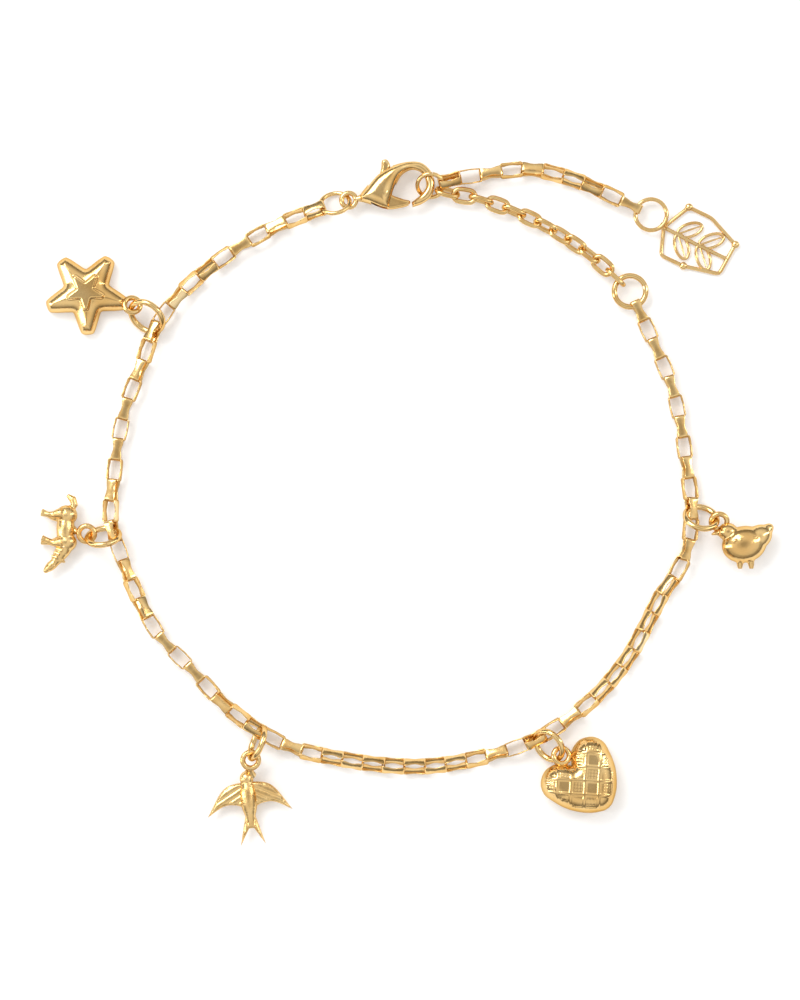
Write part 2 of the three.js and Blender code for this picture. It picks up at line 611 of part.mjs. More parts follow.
hangings.forEach((hanging, i) => {
  const link = main.heldLinks[i].middle;
  const { holds, ring, eye, turn, tilt, slope, eyeTilt } = hanging;
  const x = link.x + ring[0] * holds.radius;
  const y = link.y + ring[1] * holds.radius;
  const ringPlace = { ring: holds, x, y, z: ring[2] * holds.radius, turn, tilt, slope };
  const charm = charms[hanging.charm];
  const height = eye[2] * holds.radius;
  const body = charm.build().add(eyeSolid(charm, { height, eyeTurn: turn, eyeTilt }));
  const hung = piece(`${hanging.charm}_charm`, castGold, body);
  hung.position.set(x + eye[0] * holds.radius + charm.at.x, y + eye[1] * holds.radius + charm.at.y, 0);
  hung.rotation.z = radians(charm.turn);
  bracelet.add(ringPiece(`${hanging.charm}_jump_ring`, ringPlace), hung);
});

// The origin is the middle of the bottom of the whole piece
const extent = new THREE.Box3().setFromObject(bracelet, true);
const centre = extent.getCenter(new THREE.Vector3());
bracelet.position.set(-centre.x, -centre.y, -extent.min.z);
bracelet.updateMatrixWorld(true);

export default bracelet;
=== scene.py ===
# Gold charm bracelet lying in a loop on a white table.
import math

import bpy
import numpy as np
from mathutils import Matrix, Vector
from mathutils.geometry import delaunay_2d_cdt


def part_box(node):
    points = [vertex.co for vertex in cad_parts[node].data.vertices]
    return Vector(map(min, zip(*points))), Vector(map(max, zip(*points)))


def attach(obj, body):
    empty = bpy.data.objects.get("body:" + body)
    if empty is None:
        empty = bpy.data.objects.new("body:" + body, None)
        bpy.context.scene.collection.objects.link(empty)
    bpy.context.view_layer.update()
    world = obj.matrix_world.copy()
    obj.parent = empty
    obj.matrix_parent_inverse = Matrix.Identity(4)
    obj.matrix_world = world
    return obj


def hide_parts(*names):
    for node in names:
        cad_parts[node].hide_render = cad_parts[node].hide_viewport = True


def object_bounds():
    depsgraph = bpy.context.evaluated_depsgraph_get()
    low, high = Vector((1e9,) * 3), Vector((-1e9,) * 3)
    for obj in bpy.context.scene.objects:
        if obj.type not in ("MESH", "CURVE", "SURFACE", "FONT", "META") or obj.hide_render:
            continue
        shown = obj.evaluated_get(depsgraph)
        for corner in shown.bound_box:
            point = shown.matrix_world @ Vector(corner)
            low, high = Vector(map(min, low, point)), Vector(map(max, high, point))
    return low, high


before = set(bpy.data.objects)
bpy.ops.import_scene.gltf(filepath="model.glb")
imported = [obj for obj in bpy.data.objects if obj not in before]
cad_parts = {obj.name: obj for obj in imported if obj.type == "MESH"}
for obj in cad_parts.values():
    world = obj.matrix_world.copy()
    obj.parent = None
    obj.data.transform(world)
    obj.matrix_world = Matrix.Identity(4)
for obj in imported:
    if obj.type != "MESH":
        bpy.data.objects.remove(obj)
cad_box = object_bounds()

# Where things lie on the table. The places below are the ones that the CAD model uses, in millimetres,
# and the extender ring's packed box says how far the whole bracelet was moved to centre it.
MM = 0.001
ring_low, ring_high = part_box("extender_ring")
EXTENDER_RING_AT = (24.95, 22.68, 0.88)
EXTENDER_RING_REACH = 2.0
lay = Vector((
    ring_high[0] / MM - EXTENDER_RING_AT[0] - EXTENDER_RING_REACH,
    (ring_low[1] + ring_high[1]) / 2 / MM - EXTENDER_RING_AT[1],
    (ring_low[2] + ring_high[2]) / 2 / MM - EXTENDER_RING_AT[2],
))

# Strip gold: the box chain is bent from flat brass strip and gold plated, tumbled bright. The rollers
# leave faint lines along the strip, tumbling leaves soft dents, and the edges are burnished paler.
GOLD = (0.83, 0.58, 0.26, 1.0)
GOLD_PALE = (0.94, 0.75, 0.44, 1.0)
GOLD_DEEP = (0.73, 0.45, 0.16, 1.0)
GOLD_GLANCING = (0.73, 0.56, 0.34, 1.0)


def plating_group():
    """Colour and sheen of worn plating: paler on edges, deeper in patches, with fine tumbling marks."""
    group = bpy.data.node_groups.new("plating", "ShaderNodeTree")
    face = group.interface
    for name, kind, value in (
        ("Gold", "Color", GOLD), ("Pale Gold", "Color", GOLD_PALE), ("Deep Gold", "Color", GOLD_DEEP),
        ("Patch Size", "Float", 900.0), ("Edge Wear", "Float", 0.6), ("Shine", "Float", 0.12),
        ("Dullness", "Float", 0.26), ("Mark Size", "Float", 5000.0),
    ):
        socket = face.new_socket(name, in_out="INPUT", socket_type="NodeSocket" + kind)
        socket.default_value = value
    for name, kind in (("Colour", "Color"), ("Roughness", "Float"), ("Height", "Float")):
        face.new_socket(name, in_out="OUTPUT", socket_type="NodeSocket" + kind)
    nodes, links = group.nodes, group.links
    given = nodes.new("NodeGroupInput")
    out = nodes.new("NodeGroupOutput")
    where = nodes.new("ShaderNodeTexCoord")

    def noise(scale_socket, detail, rough):
        made = nodes.new("ShaderNodeTexNoise")
        made.inputs["Detail"].default_value = detail
        made.inputs["Roughness"].default_value = rough
        links.new(where.outputs["Object"], made.inputs["Vector"])
        links.new(given.outputs[scale_socket], made.inputs["Scale"])
        return made

    def spread(source, low, high):
        made = nodes.new("ShaderNodeMapRange")
        made.inputs["From Min"].default_value = low
        made.inputs["From Max"].default_value = high
        links.new(source, made.inputs["Value"])
        return made

    def mixed(share, first, second):
        made = nodes.new("ShaderNodeMix")
        made.data_type = "RGBA"
        links.new(share, made.inputs["Factor"])
        links.new(first, made.inputs["A"])
        links.new(second, made.inputs["B"])
        return made

    patches = noise("Patch Size", 2.0, 0.5)
    marks = noise("Mark Size", 4.0, 0.65)
    patch_share = spread(patches.outputs["Fac"], 0.42, 0.72)
    deepen = mixed(patch_share.outputs["Result"], given.outputs["Gold"], given.outputs["Deep Gold"])
    shape = nodes.new("ShaderNodeNewGeometry")
    edge = spread(shape.outputs["Pointiness"], 0.52, 0.62)
    worn = nodes.new("ShaderNodeMath")
    worn.operation = "MULTIPLY"
    links.new(edge.outputs["Result"], worn.inputs[0])
    links.new(given.outputs["Edge Wear"], worn.inputs[1])
    pale = mixed(worn.outputs[0], deepen.outputs["Result"], given.outputs["Pale Gold"])
    dull = spread(marks.outputs["Fac"], 0.35, 0.7)
    links.new(given.outputs["Shine"], dull.inputs["To Min"])
    links.new(given.outputs["Dullness"], dull.inputs["To Max"])
    links.new(pale.outputs["Result"], out.inputs["Colour"])
    links.new(dull.outputs["Result"], out.inputs["Roughness"])
    links.new(marks.outputs["Fac"], out.inputs["Height"])
    return group


plating = plating_group()


def gold_material(name, depth=0.00001, **settings):
    """Plated gold with its own values of the plating group, and a shallow bump from its marks."""
    made = bpy.data.materials.new(name)
    made.use_nodes = True
    nodes, links = made.node_tree.nodes, made.node_tree.links
    shader = nodes["Principled BSDF"]
    shader.inputs["Metallic"].default_value = 1.0
    shader.inputs["Specular Tint"].default_value = GOLD_GLANCING
    wear = nodes.new("ShaderNodeGroup")
    wear.node_tree = plating
    for key, value in settings.items():
        wear.inputs[key.replace("_", " ").title()].default_value = value
    bump = nodes.new("ShaderNodeBump")
    bump.inputs["Strength"].default_value = 0.35
    bump.inputs["Distance"].default_value = depth
    links.new(wear.outputs["Colour"], shader.inputs["Base Color"])
    links.new(wear.outputs["Roughness"], shader.inputs["Roughness"])
    links.new(wear.outputs["Height"], bump.inputs["Height"])
    links.new(bump.outputs["Normal"], shader.inputs["Normal"])
    return made


strip_gold = gold_material("strip gold", edge_wear=0.75, shine=0.1, dullness=0.24)


def mesh_object(name, points, faces):
    mesh = bpy.data.meshes.new(name)
    mesh.from_pydata([tuple(p) for p in points], [], faces)
    made = bpy.data.objects.new(name, mesh)
    bpy.context.collection.objects.link(made)
    return made


def add_piece(name, points, faces, material, smooth=True):
    """A mesh piece from points in millimetres of the CAD layout."""
    piece = mesh_object(name, [(Vector(p) + lay) * MM for p in points], faces)
    piece.data.polygons.foreach_set("use_smooth", [smooth] * len(piece.data.polygons))
    piece.data.materials.append(material)
    piece.data.update()
    return piece


def keep_edges_crisp(piece, degrees):
    """Shades the piece smooth, but for edges that turn more than this."""
    piece.data.set_sharp_from_angle(angle=math.radians(degrees))


# Chain routes. A chain runs along a smooth line through chosen places, x, y and roll in degrees, from
# one end ring to the other. Its links alternate by a quarter turn, as each holds the next.
RUNNING_GAP = 0.15
NODE_GAP = 0.14
HOLD_REACH = 4
ROUTE_STEPS = 1200


def smooth_line(rows, steps):
    """Places along a centripetal curve through the rows, and the distance run at each."""
    places = [np.array(row[:2], float) for row in rows]
    places = [2 * places[0] - places[1]] + places + [2 * places[-1] - places[-2]]
    made = []
    for step in range(steps + 1):
        t = step / steps * (len(rows) - 1)
        k = min(int(t), len(rows) - 2)
        u = t - k
        a, b, c, d = places[k:k + 4]
        ab, bc, cd = (max(np.linalg.norm(q - p), 1e-9) ** 0.5 for p, q in ((a, b), (b, c), (c, d)))
        leave = ((b - a) / ab - (c - a) / (ab + bc) + (c - b) / bc) * bc
        reach = ((c - b) / bc - (d - b) / (bc + cd) + (d - c) / cd) * bc
        made.append(b + leave * u + (3 * (c - b) - 2 * leave - reach) * u * u
                    + (2 * (b - c) + leave + reach) * u ** 3)
    made = np.array(made)
    run = np.concatenate([[0], np.cumsum(np.linalg.norm(np.diff(made, axis=0), axis=1))])
    return made, run


def chain_links(rows, start, end, pitch, half_height, holds=(), split_share=1.0, start_lift=0.0):
    """Each link's middle, direction, span and roll, and the number of the first link after the split."""
    rows = [(start["at"][0], start["at"][1], 0), *rows, (end["at"][0], end["at"][1], 0)]
    line, run = smooth_line(rows, ROUTE_STEPS)
    share = np.linspace(0, len(rows) - 1, ROUTE_STEPS + 1)
    first = start["radius"] - start["wire"] / 2 - RUNNING_GAP
    last = run[-1] - (end["radius"] - end["wire"] / 2 - RUNNING_GAP)
    count = round((last - first) / pitch)
    spacing = (last - first) / count
    end_twist = 90 if count % 2 == 0 else 0
    held = [(2 * math.floor(along * count / 2 + 0.5), roll) for along, roll in holds]

    def roll_of(step):
        t = np.interp(first + step * spacing, run, share)
        row = min(int(t), len(rows) - 2)
        roll = rows[row][2] + (rows[row + 1][2] - rows[row][2]) * (t - row)
        for link, turn in held:
            roll += turn * max(0, 1 - abs(step - 0.5 - link) / HOLD_REACH)
        return math.radians(roll + end_twist * (step / count) ** 2)

    joints = []
    for i in range(count + 1):
        at = [np.interp(first + i * spacing, run, line[:, axis]) for axis in (0, 1)]
        lift = start_lift * max(0, 1 - i / HOLD_REACH)
        joints.append(Vector((at[0], at[1], half_height(roll_of(i)) + lift)))
    split = math.floor(count * split_share + 0.5)
    made = []
    for i in range(count):
        along = (joints[i + 1] - joints[i]).normalized()
        from_ = joints[i] - along * (NODE_GAP / 2 if i == split else 0)
        to = joints[i + 1] + along * (NODE_GAP / 2 if i == split - 1 and split < count else 0)
        middle = (from_ + to) / 2
        middle.z = max(middle.z, half_height(roll_of(i + 0.5)))
        quarter = math.pi / 2 if i % 2 == 0 else 0
        made.append({"middle": middle, "along": along, "span": (to - from_).length,
                     "roll": roll_of(i + 0.5) + quarter})
    return made, split, [made[link] for link, _ in held]


def link_matrix(link):
    """Where a link lies: along the chain, and rolled about it."""
    along = link["along"]
    side = Vector((0, 0, 1)).cross(along).normalized()
    lift = along.cross(side)
    y = side * math.cos(link["roll"]) - lift * math.sin(link["roll"])
    z = along.cross(y)
    return Matrix.Translation(link["middle"]) @ Matrix((along, y, z)).transposed().to_4x4()


# Box chain: each link is a flat strip bent round into a long frame, its ends square and wide, its sides
# narrowed and bowed a little outwards where the roller pinched them. The strip's edges are rounded over.
BOX_PITCH = 2.25
BOX_WIDTH = 1.52
BOX_DEPTH = 1.02
STRIP_WIDTH = 1.04
STRIP_WAIST = 0.74
STRIP_THICKNESS = 0.14
STRIP_EDGE = 0.06
LINK_CORNER = 0.3
LINK_BOW = 0.05
LINK_PLAY = 0.01


def box_half_height(roll):
    """How high the chain's middle lies at this roll, with two links crossed in it."""
    c, s = abs(math.cos(roll)), abs(math.sin(roll))
    flat, tall = BOX_DEPTH / 2, BOX_WIDTH / 2
    return max(c * flat + s * tall, s * flat + c * tall)


def box_link_path(span):
    """Middle line of the strip round one link: place, outward direction, and how far it is pinched."""
    half_length = span / 2 + STRIP_THICKNESS / 2 - LINK_PLAY
    half_width = BOX_WIDTH / 2 - STRIP_THICKNESS / 2
    corner = LINK_CORNER - STRIP_THICKNESS / 2
    straight = half_length - corner
    quarter = []
    for i in range(5):
        pinch = math.cos(math.pi / 8 * i) ** 2
        quarter.append((straight * i / 4, half_width + LINK_BOW * pinch, 0, 1, pinch))
    for i in range(1, 5):
        turn = math.pi / 8 * (4 - i)
        out = (math.cos(turn), math.sin(turn))
        quarter.append((straight + corner * out[0], half_width - corner + corner * out[1], *out, 0))
    quarter.append((half_length, 0, 1, 0, 0))
    lower = [(x, -y, out_x, -out_y, pinch) for x, y, out_x, out_y, pinch in quarter[-2::-1]]
    right = quarter + lower
    left = [(-x, y, -out_x, out_y, pinch) for x, y, out_x, out_y, pinch in right[-2:0:-1]]
    return (right + left)[::-1]


def strip_profile(pinch):
    """The strip's cross-section: a flat bar with its long edges rounded over."""
    half = (STRIP_WIDTH + (STRIP_WAIST - STRIP_WIDTH) * pinch) / 2
    t, e = STRIP_THICKNESS / 2, STRIP_EDGE
    upper = [(t, half - e), (t * 0.75, half - e * 0.3), (t * 0.2, half), (-t * 0.5, half - e * 0.15),
             (-t, half - e)]
    return upper + [(out, -z) for out, z in reversed(upper)]


def full_turn(count):
    """Angles evenly spaced once round."""
    return [2 * math.pi * k / count for k in range(count)]


def looped_faces(count, width, start=0):
    """Faces between rings of points, with the last ring joined to the first."""
    faces = []
    for i in range(count):
        for j in range(width):
            a, b = start + i * width, start + (i + 1) % count * width
            k = (j + 1) % width
            faces.append((a + j, a + k, b + k, b + j))
    return faces


def add_links(name, links, link_rings, material, node):
    """One piece of all the links of a chain, each swept at its own place and span."""
    points, faces = [], []
    for link in links:
        rings = link_rings(link["span"])
        matrix = link_matrix(link)
        faces += looped_faces(len(rings), len(rings[0]), len(points))
        points += [matrix @ Vector(p) for ring in rings for p in ring]
    piece = add_piece(name, points, faces, material)
    keep_edges_crisp(piece, 50)
    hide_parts(node)
    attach(piece, "bracelet")
    return piece


def box_link_rings(span):
    return [[(x + out_x * d, y + out_y * d, z) for d, z in strip_profile(pinch)]
            for x, y, out_x, out_y, pinch in box_link_path(span)]


# The rings that the chains end in: middle, radius and wire, and turns in degrees. Then each hold: its share
# of the main chain's length, and the roll of the link that is held there.
CLASP_RING = {
    "at": (-7.058, 32.232, 1.269), "radius": 1.6, "wire": 0.46, "turn": 193.66, "tilt": 39.94, "slope": 2.34}
HOOK_RING = {
    "at": (3.303, 34.178, 1.197), "radius": 1.42, "wire": 0.46, "turn": -10.73, "tilt": 36.24, "slope": -5.81}
EXTENDER_RING = {"at": EXTENDER_RING_AT, "radius": 1.7, "wire": 0.6, "turn": 0, "tilt": 0, "slope": 0}
TAG_RING = {"at": (27.27, 31.05, 0.8), "radius": 1.7, "wire": 0.45, "turn": 0, "tilt": 0, "slope": 0}
STAR_HOLD, STEED_HOLD, SWALLOW_HOLD = (0.141, -24), (0.282, -31), (0.451, -38)
HEART_HOLD, BIRD_HOLD, CLASP_HOLD = (0.648, -34), (0.845, -17), (0, -30.6)

MAIN_ROUTE = [
    (-13.2, 29.9, 0), (-17.2, 27.7, 0), (-21.0, 25.0, 40), (-24.3, 21.9, 40), (-26.7, 18.4, 0),
    (-27.7, 15.4, 0), (-29.5, 10.8, 0), (-30.5, 6.4, 0), (-31.0, 1.8, 0), (-31.3, -2.1, 0),
    (-29.9, -6.6, 40), (-28.1, -10.9, 40), (-26.1, -14.5, 0), (-22.4, -18.3, 0), (-19.4, -21.6, 0),
    (-15.9, -24.4, 0), (-11.6, -26.7, 35), (-6.8, -27.8, 45), (-2.3, -28.5, 45), (2.6, -28.7, 45),
    (7.1, -28.1, 45), (12.1, -26.8, 30), (15.0, -25.6, 0), (18.3, -23.5, 35), (21.5, -20.8, 45),
    (24.8, -16.7, 45), (26.8, -13.0, 45), (28.3, -10.1, 45), (29.9, -7.9, 30), (31.0, -5.5, 0),
    (31.4, -3.4, 0), (31.5, -0.3, 0), (31.0, 3.8, 0), (30.4, 8.1, 0), (29.4, 12.5, 0),
    (27.9, 16.2, 0), (26.2, 20.0, 0),
]
TAIL_ROUTE = [
    (5.9, 34.937, -48.6), (8.3, 35.3, 0), (10.5, 35.7, 0), (12.6, 36.0, 0), (14.6, 36.0, 0),
    (16.8, 35.5, 0), (18.9, 34.9, 0), (21.1, 34.0, 0), (23.2, 33.0, 0), (24.95, 32.15, 0),
]
main_links, main_split, held_links = chain_links(
    MAIN_ROUTE, CLASP_RING, EXTENDER_RING, BOX_PITCH, box_half_height,
    holds=(STAR_HOLD, STEED_HOLD, SWALLOW_HOLD, HEART_HOLD, BIRD_HOLD, CLASP_HOLD),
    split_share=0.55, start_lift=0.258)
tail_links = chain_links(TAIL_ROUTE, HOOK_RING, TAG_RING, BOX_PITCH, box_half_height, start_lift=0.275)[0]
add_links("box_chain_left_links", main_links[:main_split], box_link_rings, strip_gold, "box_chain_left")
add_links("box_chain_right_links", main_links[main_split:], box_link_rings, strip_gold, "box_chain_right")
add_links("tail_chain_links", tail_links, box_link_rings, strip_gold, "tail_box_chain")

# Cable chain: oval links of round wire, each soldered shut, the size of the box chain so that the clasp
# can close on any of them.
CABLE_PITCH = 1.82
CABLE_WIDTH = 1.9
CABLE_WIRE = 0.52
CABLE_PLAY = 0.04
cable_gold = gold_material("cable wire gold", edge_wear=0.3, shine=0.12, dullness=0.25, patch_size=700.0)


def cable_half_height(roll):
    return max(abs(math.cos(roll)), abs(math.sin(roll))) * (CABLE_WIDTH - CABLE_WIRE) / 2 + CABLE_WIRE / 2


def cable_link_rings(span, around=32, sides=12):
    """Rings of points round the wire of one oval link."""
    bend, wire = (CABLE_WIDTH - CABLE_WIRE) / 2, CABLE_WIRE / 2
    stretch = (span + CABLE_WIRE - CABLE_PLAY) / 2 - bend
    rings = []
    for turn in full_turn(around):
        out = (math.cos(turn), math.sin(turn))
        middle = (bend * out[0] + math.tanh(4 * out[0]) * stretch, bend * out[1])
        rings.append([
            (middle[0] + out[0] * wire * math.cos(a), middle[1] + out[1] * wire * math.cos(a),
             wire * math.sin(a)) for a in full_turn(sides)])
    return rings


CABLE_ROUTE = [
    (4.885, 33.448, -36.5), (7.7, 33.0, 0), (10.3, 32.2, 0), (12.9, 31.2, 0), (15.4, 30.0, 0),
    (17.7, 28.7, 0), (19.9, 27.2, 0), (22.0, 25.5, 0), (23.6, 24.0, 0),
]
cable_links = chain_links(CABLE_ROUTE, HOOK_RING, EXTENDER_RING, CABLE_PITCH, cable_half_height)[0]
add_links("extender_chain_links", cable_links, cable_link_rings, cable_gold, "extender_cable_chain")

# Rings: round brass wire cut to length and bent shut with pliers, so each shows a fine slit where its two
# flat ends meet. Those that end the chains and those that hang the charms are made alike.
ring_gold = gold_material("ring wire gold", edge_wear=0.2, shine=0.08, dullness=0.2, patch_size=500.0)
SLIT = 0.05


def turned(degrees, axis="Z"):
    return Matrix.Rotation(math.radians(degrees), 4, axis)


def ring_matrix(ring):
    turns = turned(ring["turn"]) @ turned(-ring["slope"], "Y") @ turned(ring["tilt"], "X")
    return Matrix.Translation(ring["at"]) @ turns


def open_ring(ring, slit_at=None, around=64, sides=16):
    """Points and faces of a wire ring; slit_at is the angle of its slit, and None leaves it whole."""
    radius, wire = ring["radius"], ring["wire"] / 2
    rows = []
    spare = 0 if slit_at is None else SLIT / 2 / radius
    for i in range(around):
        share = i / around if slit_at is None else i / (around - 1)
        turn = math.radians(slit_at or 0) + spare + share * (2 * math.pi - 2 * spare)
        rows.append([
            ((radius + wire * math.cos(a)) * math.cos(turn), (radius + wire * math.cos(a)) * math.sin(turn),
             wire * math.sin(a)) for a in full_turn(sides)])
    faces = looped_faces(around, sides)
    if slit_at is not None:
        faces = faces[:-sides]
        faces.append(tuple(range(sides)))
        faces.append(tuple(reversed(range((around - 1) * sides, around * sides))))
    return [p for row in rows for p in row], faces


def add_ring(name, ring, slit_at, node):
    points, faces = open_ring(ring, slit_at)
    matrix = ring_matrix(ring)
    piece = add_piece(name, [matrix @ Vector(p) for p in points], faces, ring_gold)
    keep_edges_crisp(piece, 60)
    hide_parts(node)
    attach(piece, "bracelet")
    return piece


add_ring("clasp_ring_wire", CLASP_RING, 250, "clasp_ring")
add_ring("hook_ring_wire", HOOK_RING, 95, "hook_ring")
add_ring("extender_ring_wire", EXTENDER_RING, 20, "extender_ring")

# Where the charms hang: each ring's middle from the link that it holds, each eye from the ring's middle,
# both in ring radii with the height from the table, and the turns in degrees.
JUMP_RADIUS, STAR_RING_RADIUS, JUMP_WIRE = 1.72, 1.95, 0.64
EYE_RADIUS, EYE_WIRE = 0.85, 0.58
HANGINGS = {
    "star": {"radius": STAR_RING_RADIUS, "ring": (-0.36, 0.79, 0.927), "turn": -31.8, "tilt": 50.2,
             "slope": 2.6, "eye": (-0.81, 0.65, 0.884), "eye_tilt": -20.5, "slit": 60},
    "steed": {"radius": JUMP_RADIUS, "ring": (-0.563, -0.365, 1.086), "turn": 5.4, "tilt": -56.6,
              "slope": 1.3, "eye": (-1.069, 0.19, 0.808), "eye_tilt": 11.2, "slit": 285},
    "swallow": {"radius": JUMP_RADIUS, "ring": (0.153, -0.946, 1.132), "turn": 67.9, "tilt": -72.2,
                "slope": 1.7, "eye": (-0.41, -1.04, 1.028), "eye_tilt": 9.7, "slit": 100},
    "heart": {"radius": JUMP_RADIUS, "ring": (0.829, -0.377, 0.981), "turn": -55.9, "tilt": 48.2,
              "slope": -3.6, "eye": (0.77, -0.63, 1.143), "eye_tilt": -11.3, "slit": 120},
    "bird": {"radius": JUMP_RADIUS, "ring": (0.573, -0.59, 0.959), "turn": -2.8, "tilt": -45,
             "slope": -9.3, "eye": (1.12, -0.24, 0.952), "eye_tilt": 19, "slit": 80},
}


def hang_ring(charm, link):
    """Adds the jump ring that holds the link, and gives the place of the charm's eye."""
    hanging = HANGINGS[charm]
    radius = hanging["radius"]
    ring_x, ring_y, ring_z = hanging["ring"]
    eye_x, eye_y, eye_z = hanging["eye"]
    at = (link.x + ring_x * radius, link.y + ring_y * radius, ring_z * radius)
    ring = {"at": at, "radius": radius, "wire": JUMP_WIRE,
            "turn": hanging["turn"], "tilt": hanging["tilt"], "slope": hanging["slope"]}
    add_ring(charm + "_ring_wire", ring, hanging["slit"], charm + "_jump_ring")
    return Vector((at[0] + eye_x * radius, at[1] + eye_y * radius, eye_z * radius))


eye_at = {charm: hang_ring(charm, link["middle"]) for charm, link in zip(HANGINGS, held_links)}

# Clasp: a cast brass lobster clasp, its teardrop body slit through for the sprung lever. A small domed
# rivet holds the lever, and a cast eye at the tail takes the ring. It is tumbled smooth, so every edge
# is soft. Outlines are shares of the clasp's length and half width.
CLASP_LENGTH, CLASP_HALF_WIDTH, CLASP_THICKNESS, HOOK_THICKNESS = 9.6, 2.125, 2.4, 1.05
BODY_ROUNDING, HOOK_ROUNDING = 1.25, 0.42
HOOK_FROM, HOOK_TAPER = 0.52, 0.34
CLASP_TURN = 9
CLASP_AT = Vector((CLASP_RING["at"][0] + 1.498, CLASP_RING["at"][1] + 0.348, CLASP_THICKNESS / 2))
PIN_AT = (3.6, 0.2)
PIN_RADIUS = 0.34
RIVET_RADIUS, RIVET_SQUASH, RIVET_SINK = 0.74, 0.22, 0.16
TAIL_EYE = {"radius": 0.78, "wire": 0.54}
LEVER_THICKNESS, LEVER_CLEARANCE = 0.9, 0.2
LEVER_ROUNDING = 0.24
SLOT_FROM, SLOT_TO, SLOT_REACH, PIN_HOLE_REACH = 2.35, 5.3, 6, 2
CLASP_OUTLINE = [
    (0.7, -0.87), (0.82, -0.76), (0.935, -0.44), (0.99, 0.19), (0.965, 0.84), (0.87, 1.33), (0.73, 1.47),
    (0.58, 1.42), (0.46, 1.3), (0.335, 1.01), (0.22, 0.54), (0.135, 0.16), (0.135, -0.14),
    (0.22, -0.35), (0.345, -0.7), (0.45, -0.87), (0.46, -0.56), (0.51, -0.05), (0.568, 0.47),
    (0.646, 0.87), (0.75, 1.03), (0.844, 0.87), (0.89, 0.47), (0.885, 0.05), (0.82, -0.28),
    (0.75, -0.48), (0.698, -0.6),
]
CLASP_CORNERS = {(0.45, -0.87), (0.46, -0.56), (0.7, -0.87), (0.698, -0.6)}
LEVER_OUTLINE = [
    (0.437, -0.79), (0.61, -0.79), (0.67, -0.7), (0.68, -0.52), (0.6, -0.36), (0.475, 0), (0.458, 0.56),
    (0.52, 1.36), (0.505, 1.71), (0.474, 1.78), (0.437, 1.71), (0.411, 1.27), (0.333, 0.47),
    (0.302, 0.09), (0.333, -0.28), (0.406, -0.52),
]
cast_gold = gold_material(
    "cast gold", edge_wear=0.5, shine=0.1, dullness=0.26, patch_size=350.0, depth=0.00002)


def rounded_line(rows, corners, steps):
    """A closed smooth line through the rows, turning sharply at the corners."""
    count = len(rows)
    made = []
    for i in range(count):
        before, a, b, after = (Vector(rows[(i + k) % count]) for k in (-1, 0, 1, 2))
        if rows[i] in corners:
            before = a * 2 - b
        if rows[(i + 1) % count] in corners:
            after = b * 2 - a
        for step in range(steps):
            t = step / steps
            made.append(0.5 * (2 * a + (b - before) * t + (2 * before - 5 * a + 4 * b - after) * t * t
                               + (3 * a - before - 3 * b + after) * t ** 3))
    return made


def edge_distance(points, outline):
    """How far each flat point lies from the outline."""
    points = np.array([(p[0], p[1]) for p in points])
    start = np.array([(p[0], p[1]) for p in outline])
    run = np.roll(start, -1, axis=0) - start
    length = np.maximum((run ** 2).sum(axis=1), 1e-12)
    offset = points[:, None, :] - start[None, :, :]
    share = np.clip((offset * run[None]).sum(axis=2) / length[None], 0, 1)
    return np.sqrt(((offset - share[:, :, None] * run[None]) ** 2).sum(axis=2)).min(axis=1)


def cast_shape(outline, spacing, edge, top, bottom):
    """A casting with a given outline: top and bottom say its height at a point so far in from the edge."""
    count = len(outline)
    flat = [Vector(p[:2]) for p in outline]
    loose = []
    for share in (0.03, 0.1, 0.22, 0.4, 0.65, 1.0):
        for i in range(count):
            run = (flat[(i + 1) % count] - flat[i - 1]).normalized()
            loose.append((flat[i] + Vector((-run.y, run.x)) * edge * share, edge * share))
    low = [min(p[k] for p in flat) for k in (0, 1)]
    high = [max(p[k] for p in flat) for k in (0, 1)]
    for row in range(int((high[1] - low[1]) / spacing) + 2):
        for column in range(int((high[0] - low[0]) / spacing) + 2):
            x = low[0] + (column + 0.5 * (row % 2)) * spacing
            loose.append((Vector((x, low[1] + row * spacing)), edge * 1.15))
    far = edge_distance([p for p, need in loose], flat)
    inner = [p for (p, need), d in zip(loose, far) if d > need * 0.85]
    places, _, triangles = delaunay_2d_cdt(flat + inner, [], [list(range(count))], 1, 1e-7)[:3]
    far = edge_distance(places, flat)
    rim = {i for i, d in enumerate(far) if d < 1e-5}
    points = [Vector((p.x, p.y, top(p, d))) for p, d in zip(places, far)]
    under = {}
    for i, (p, d) in enumerate(zip(places, far)):
        if i in rim:
            under[i] = i
        else:
            under[i] = len(points)
            points.append(Vector((p.x, p.y, bottom(p, d))))
    faces = [tuple(face) for face in triangles]
    faces += [tuple(under[i] for i in reversed(face)) for face in triangles]
    return points, faces


def swell(distance, reach):
    """A quarter round: 0 at the edge, 1 from reach inwards."""
    share = min(1, distance / reach)
    return math.sqrt(max(0, 1 - (1 - share) ** 2))


def hook_share(x):
    """0 along the clasp's body and 1 at its hook, with a smooth change between."""
    share = min(1, max(0, (x - CLASP_LENGTH * HOOK_FROM) / (CLASP_LENGTH * HOOK_TAPER)))
    return share * share * (3 - 2 * share)


clasp_matrix = Matrix.Translation(CLASP_AT) @ turned(CLASP_TURN)


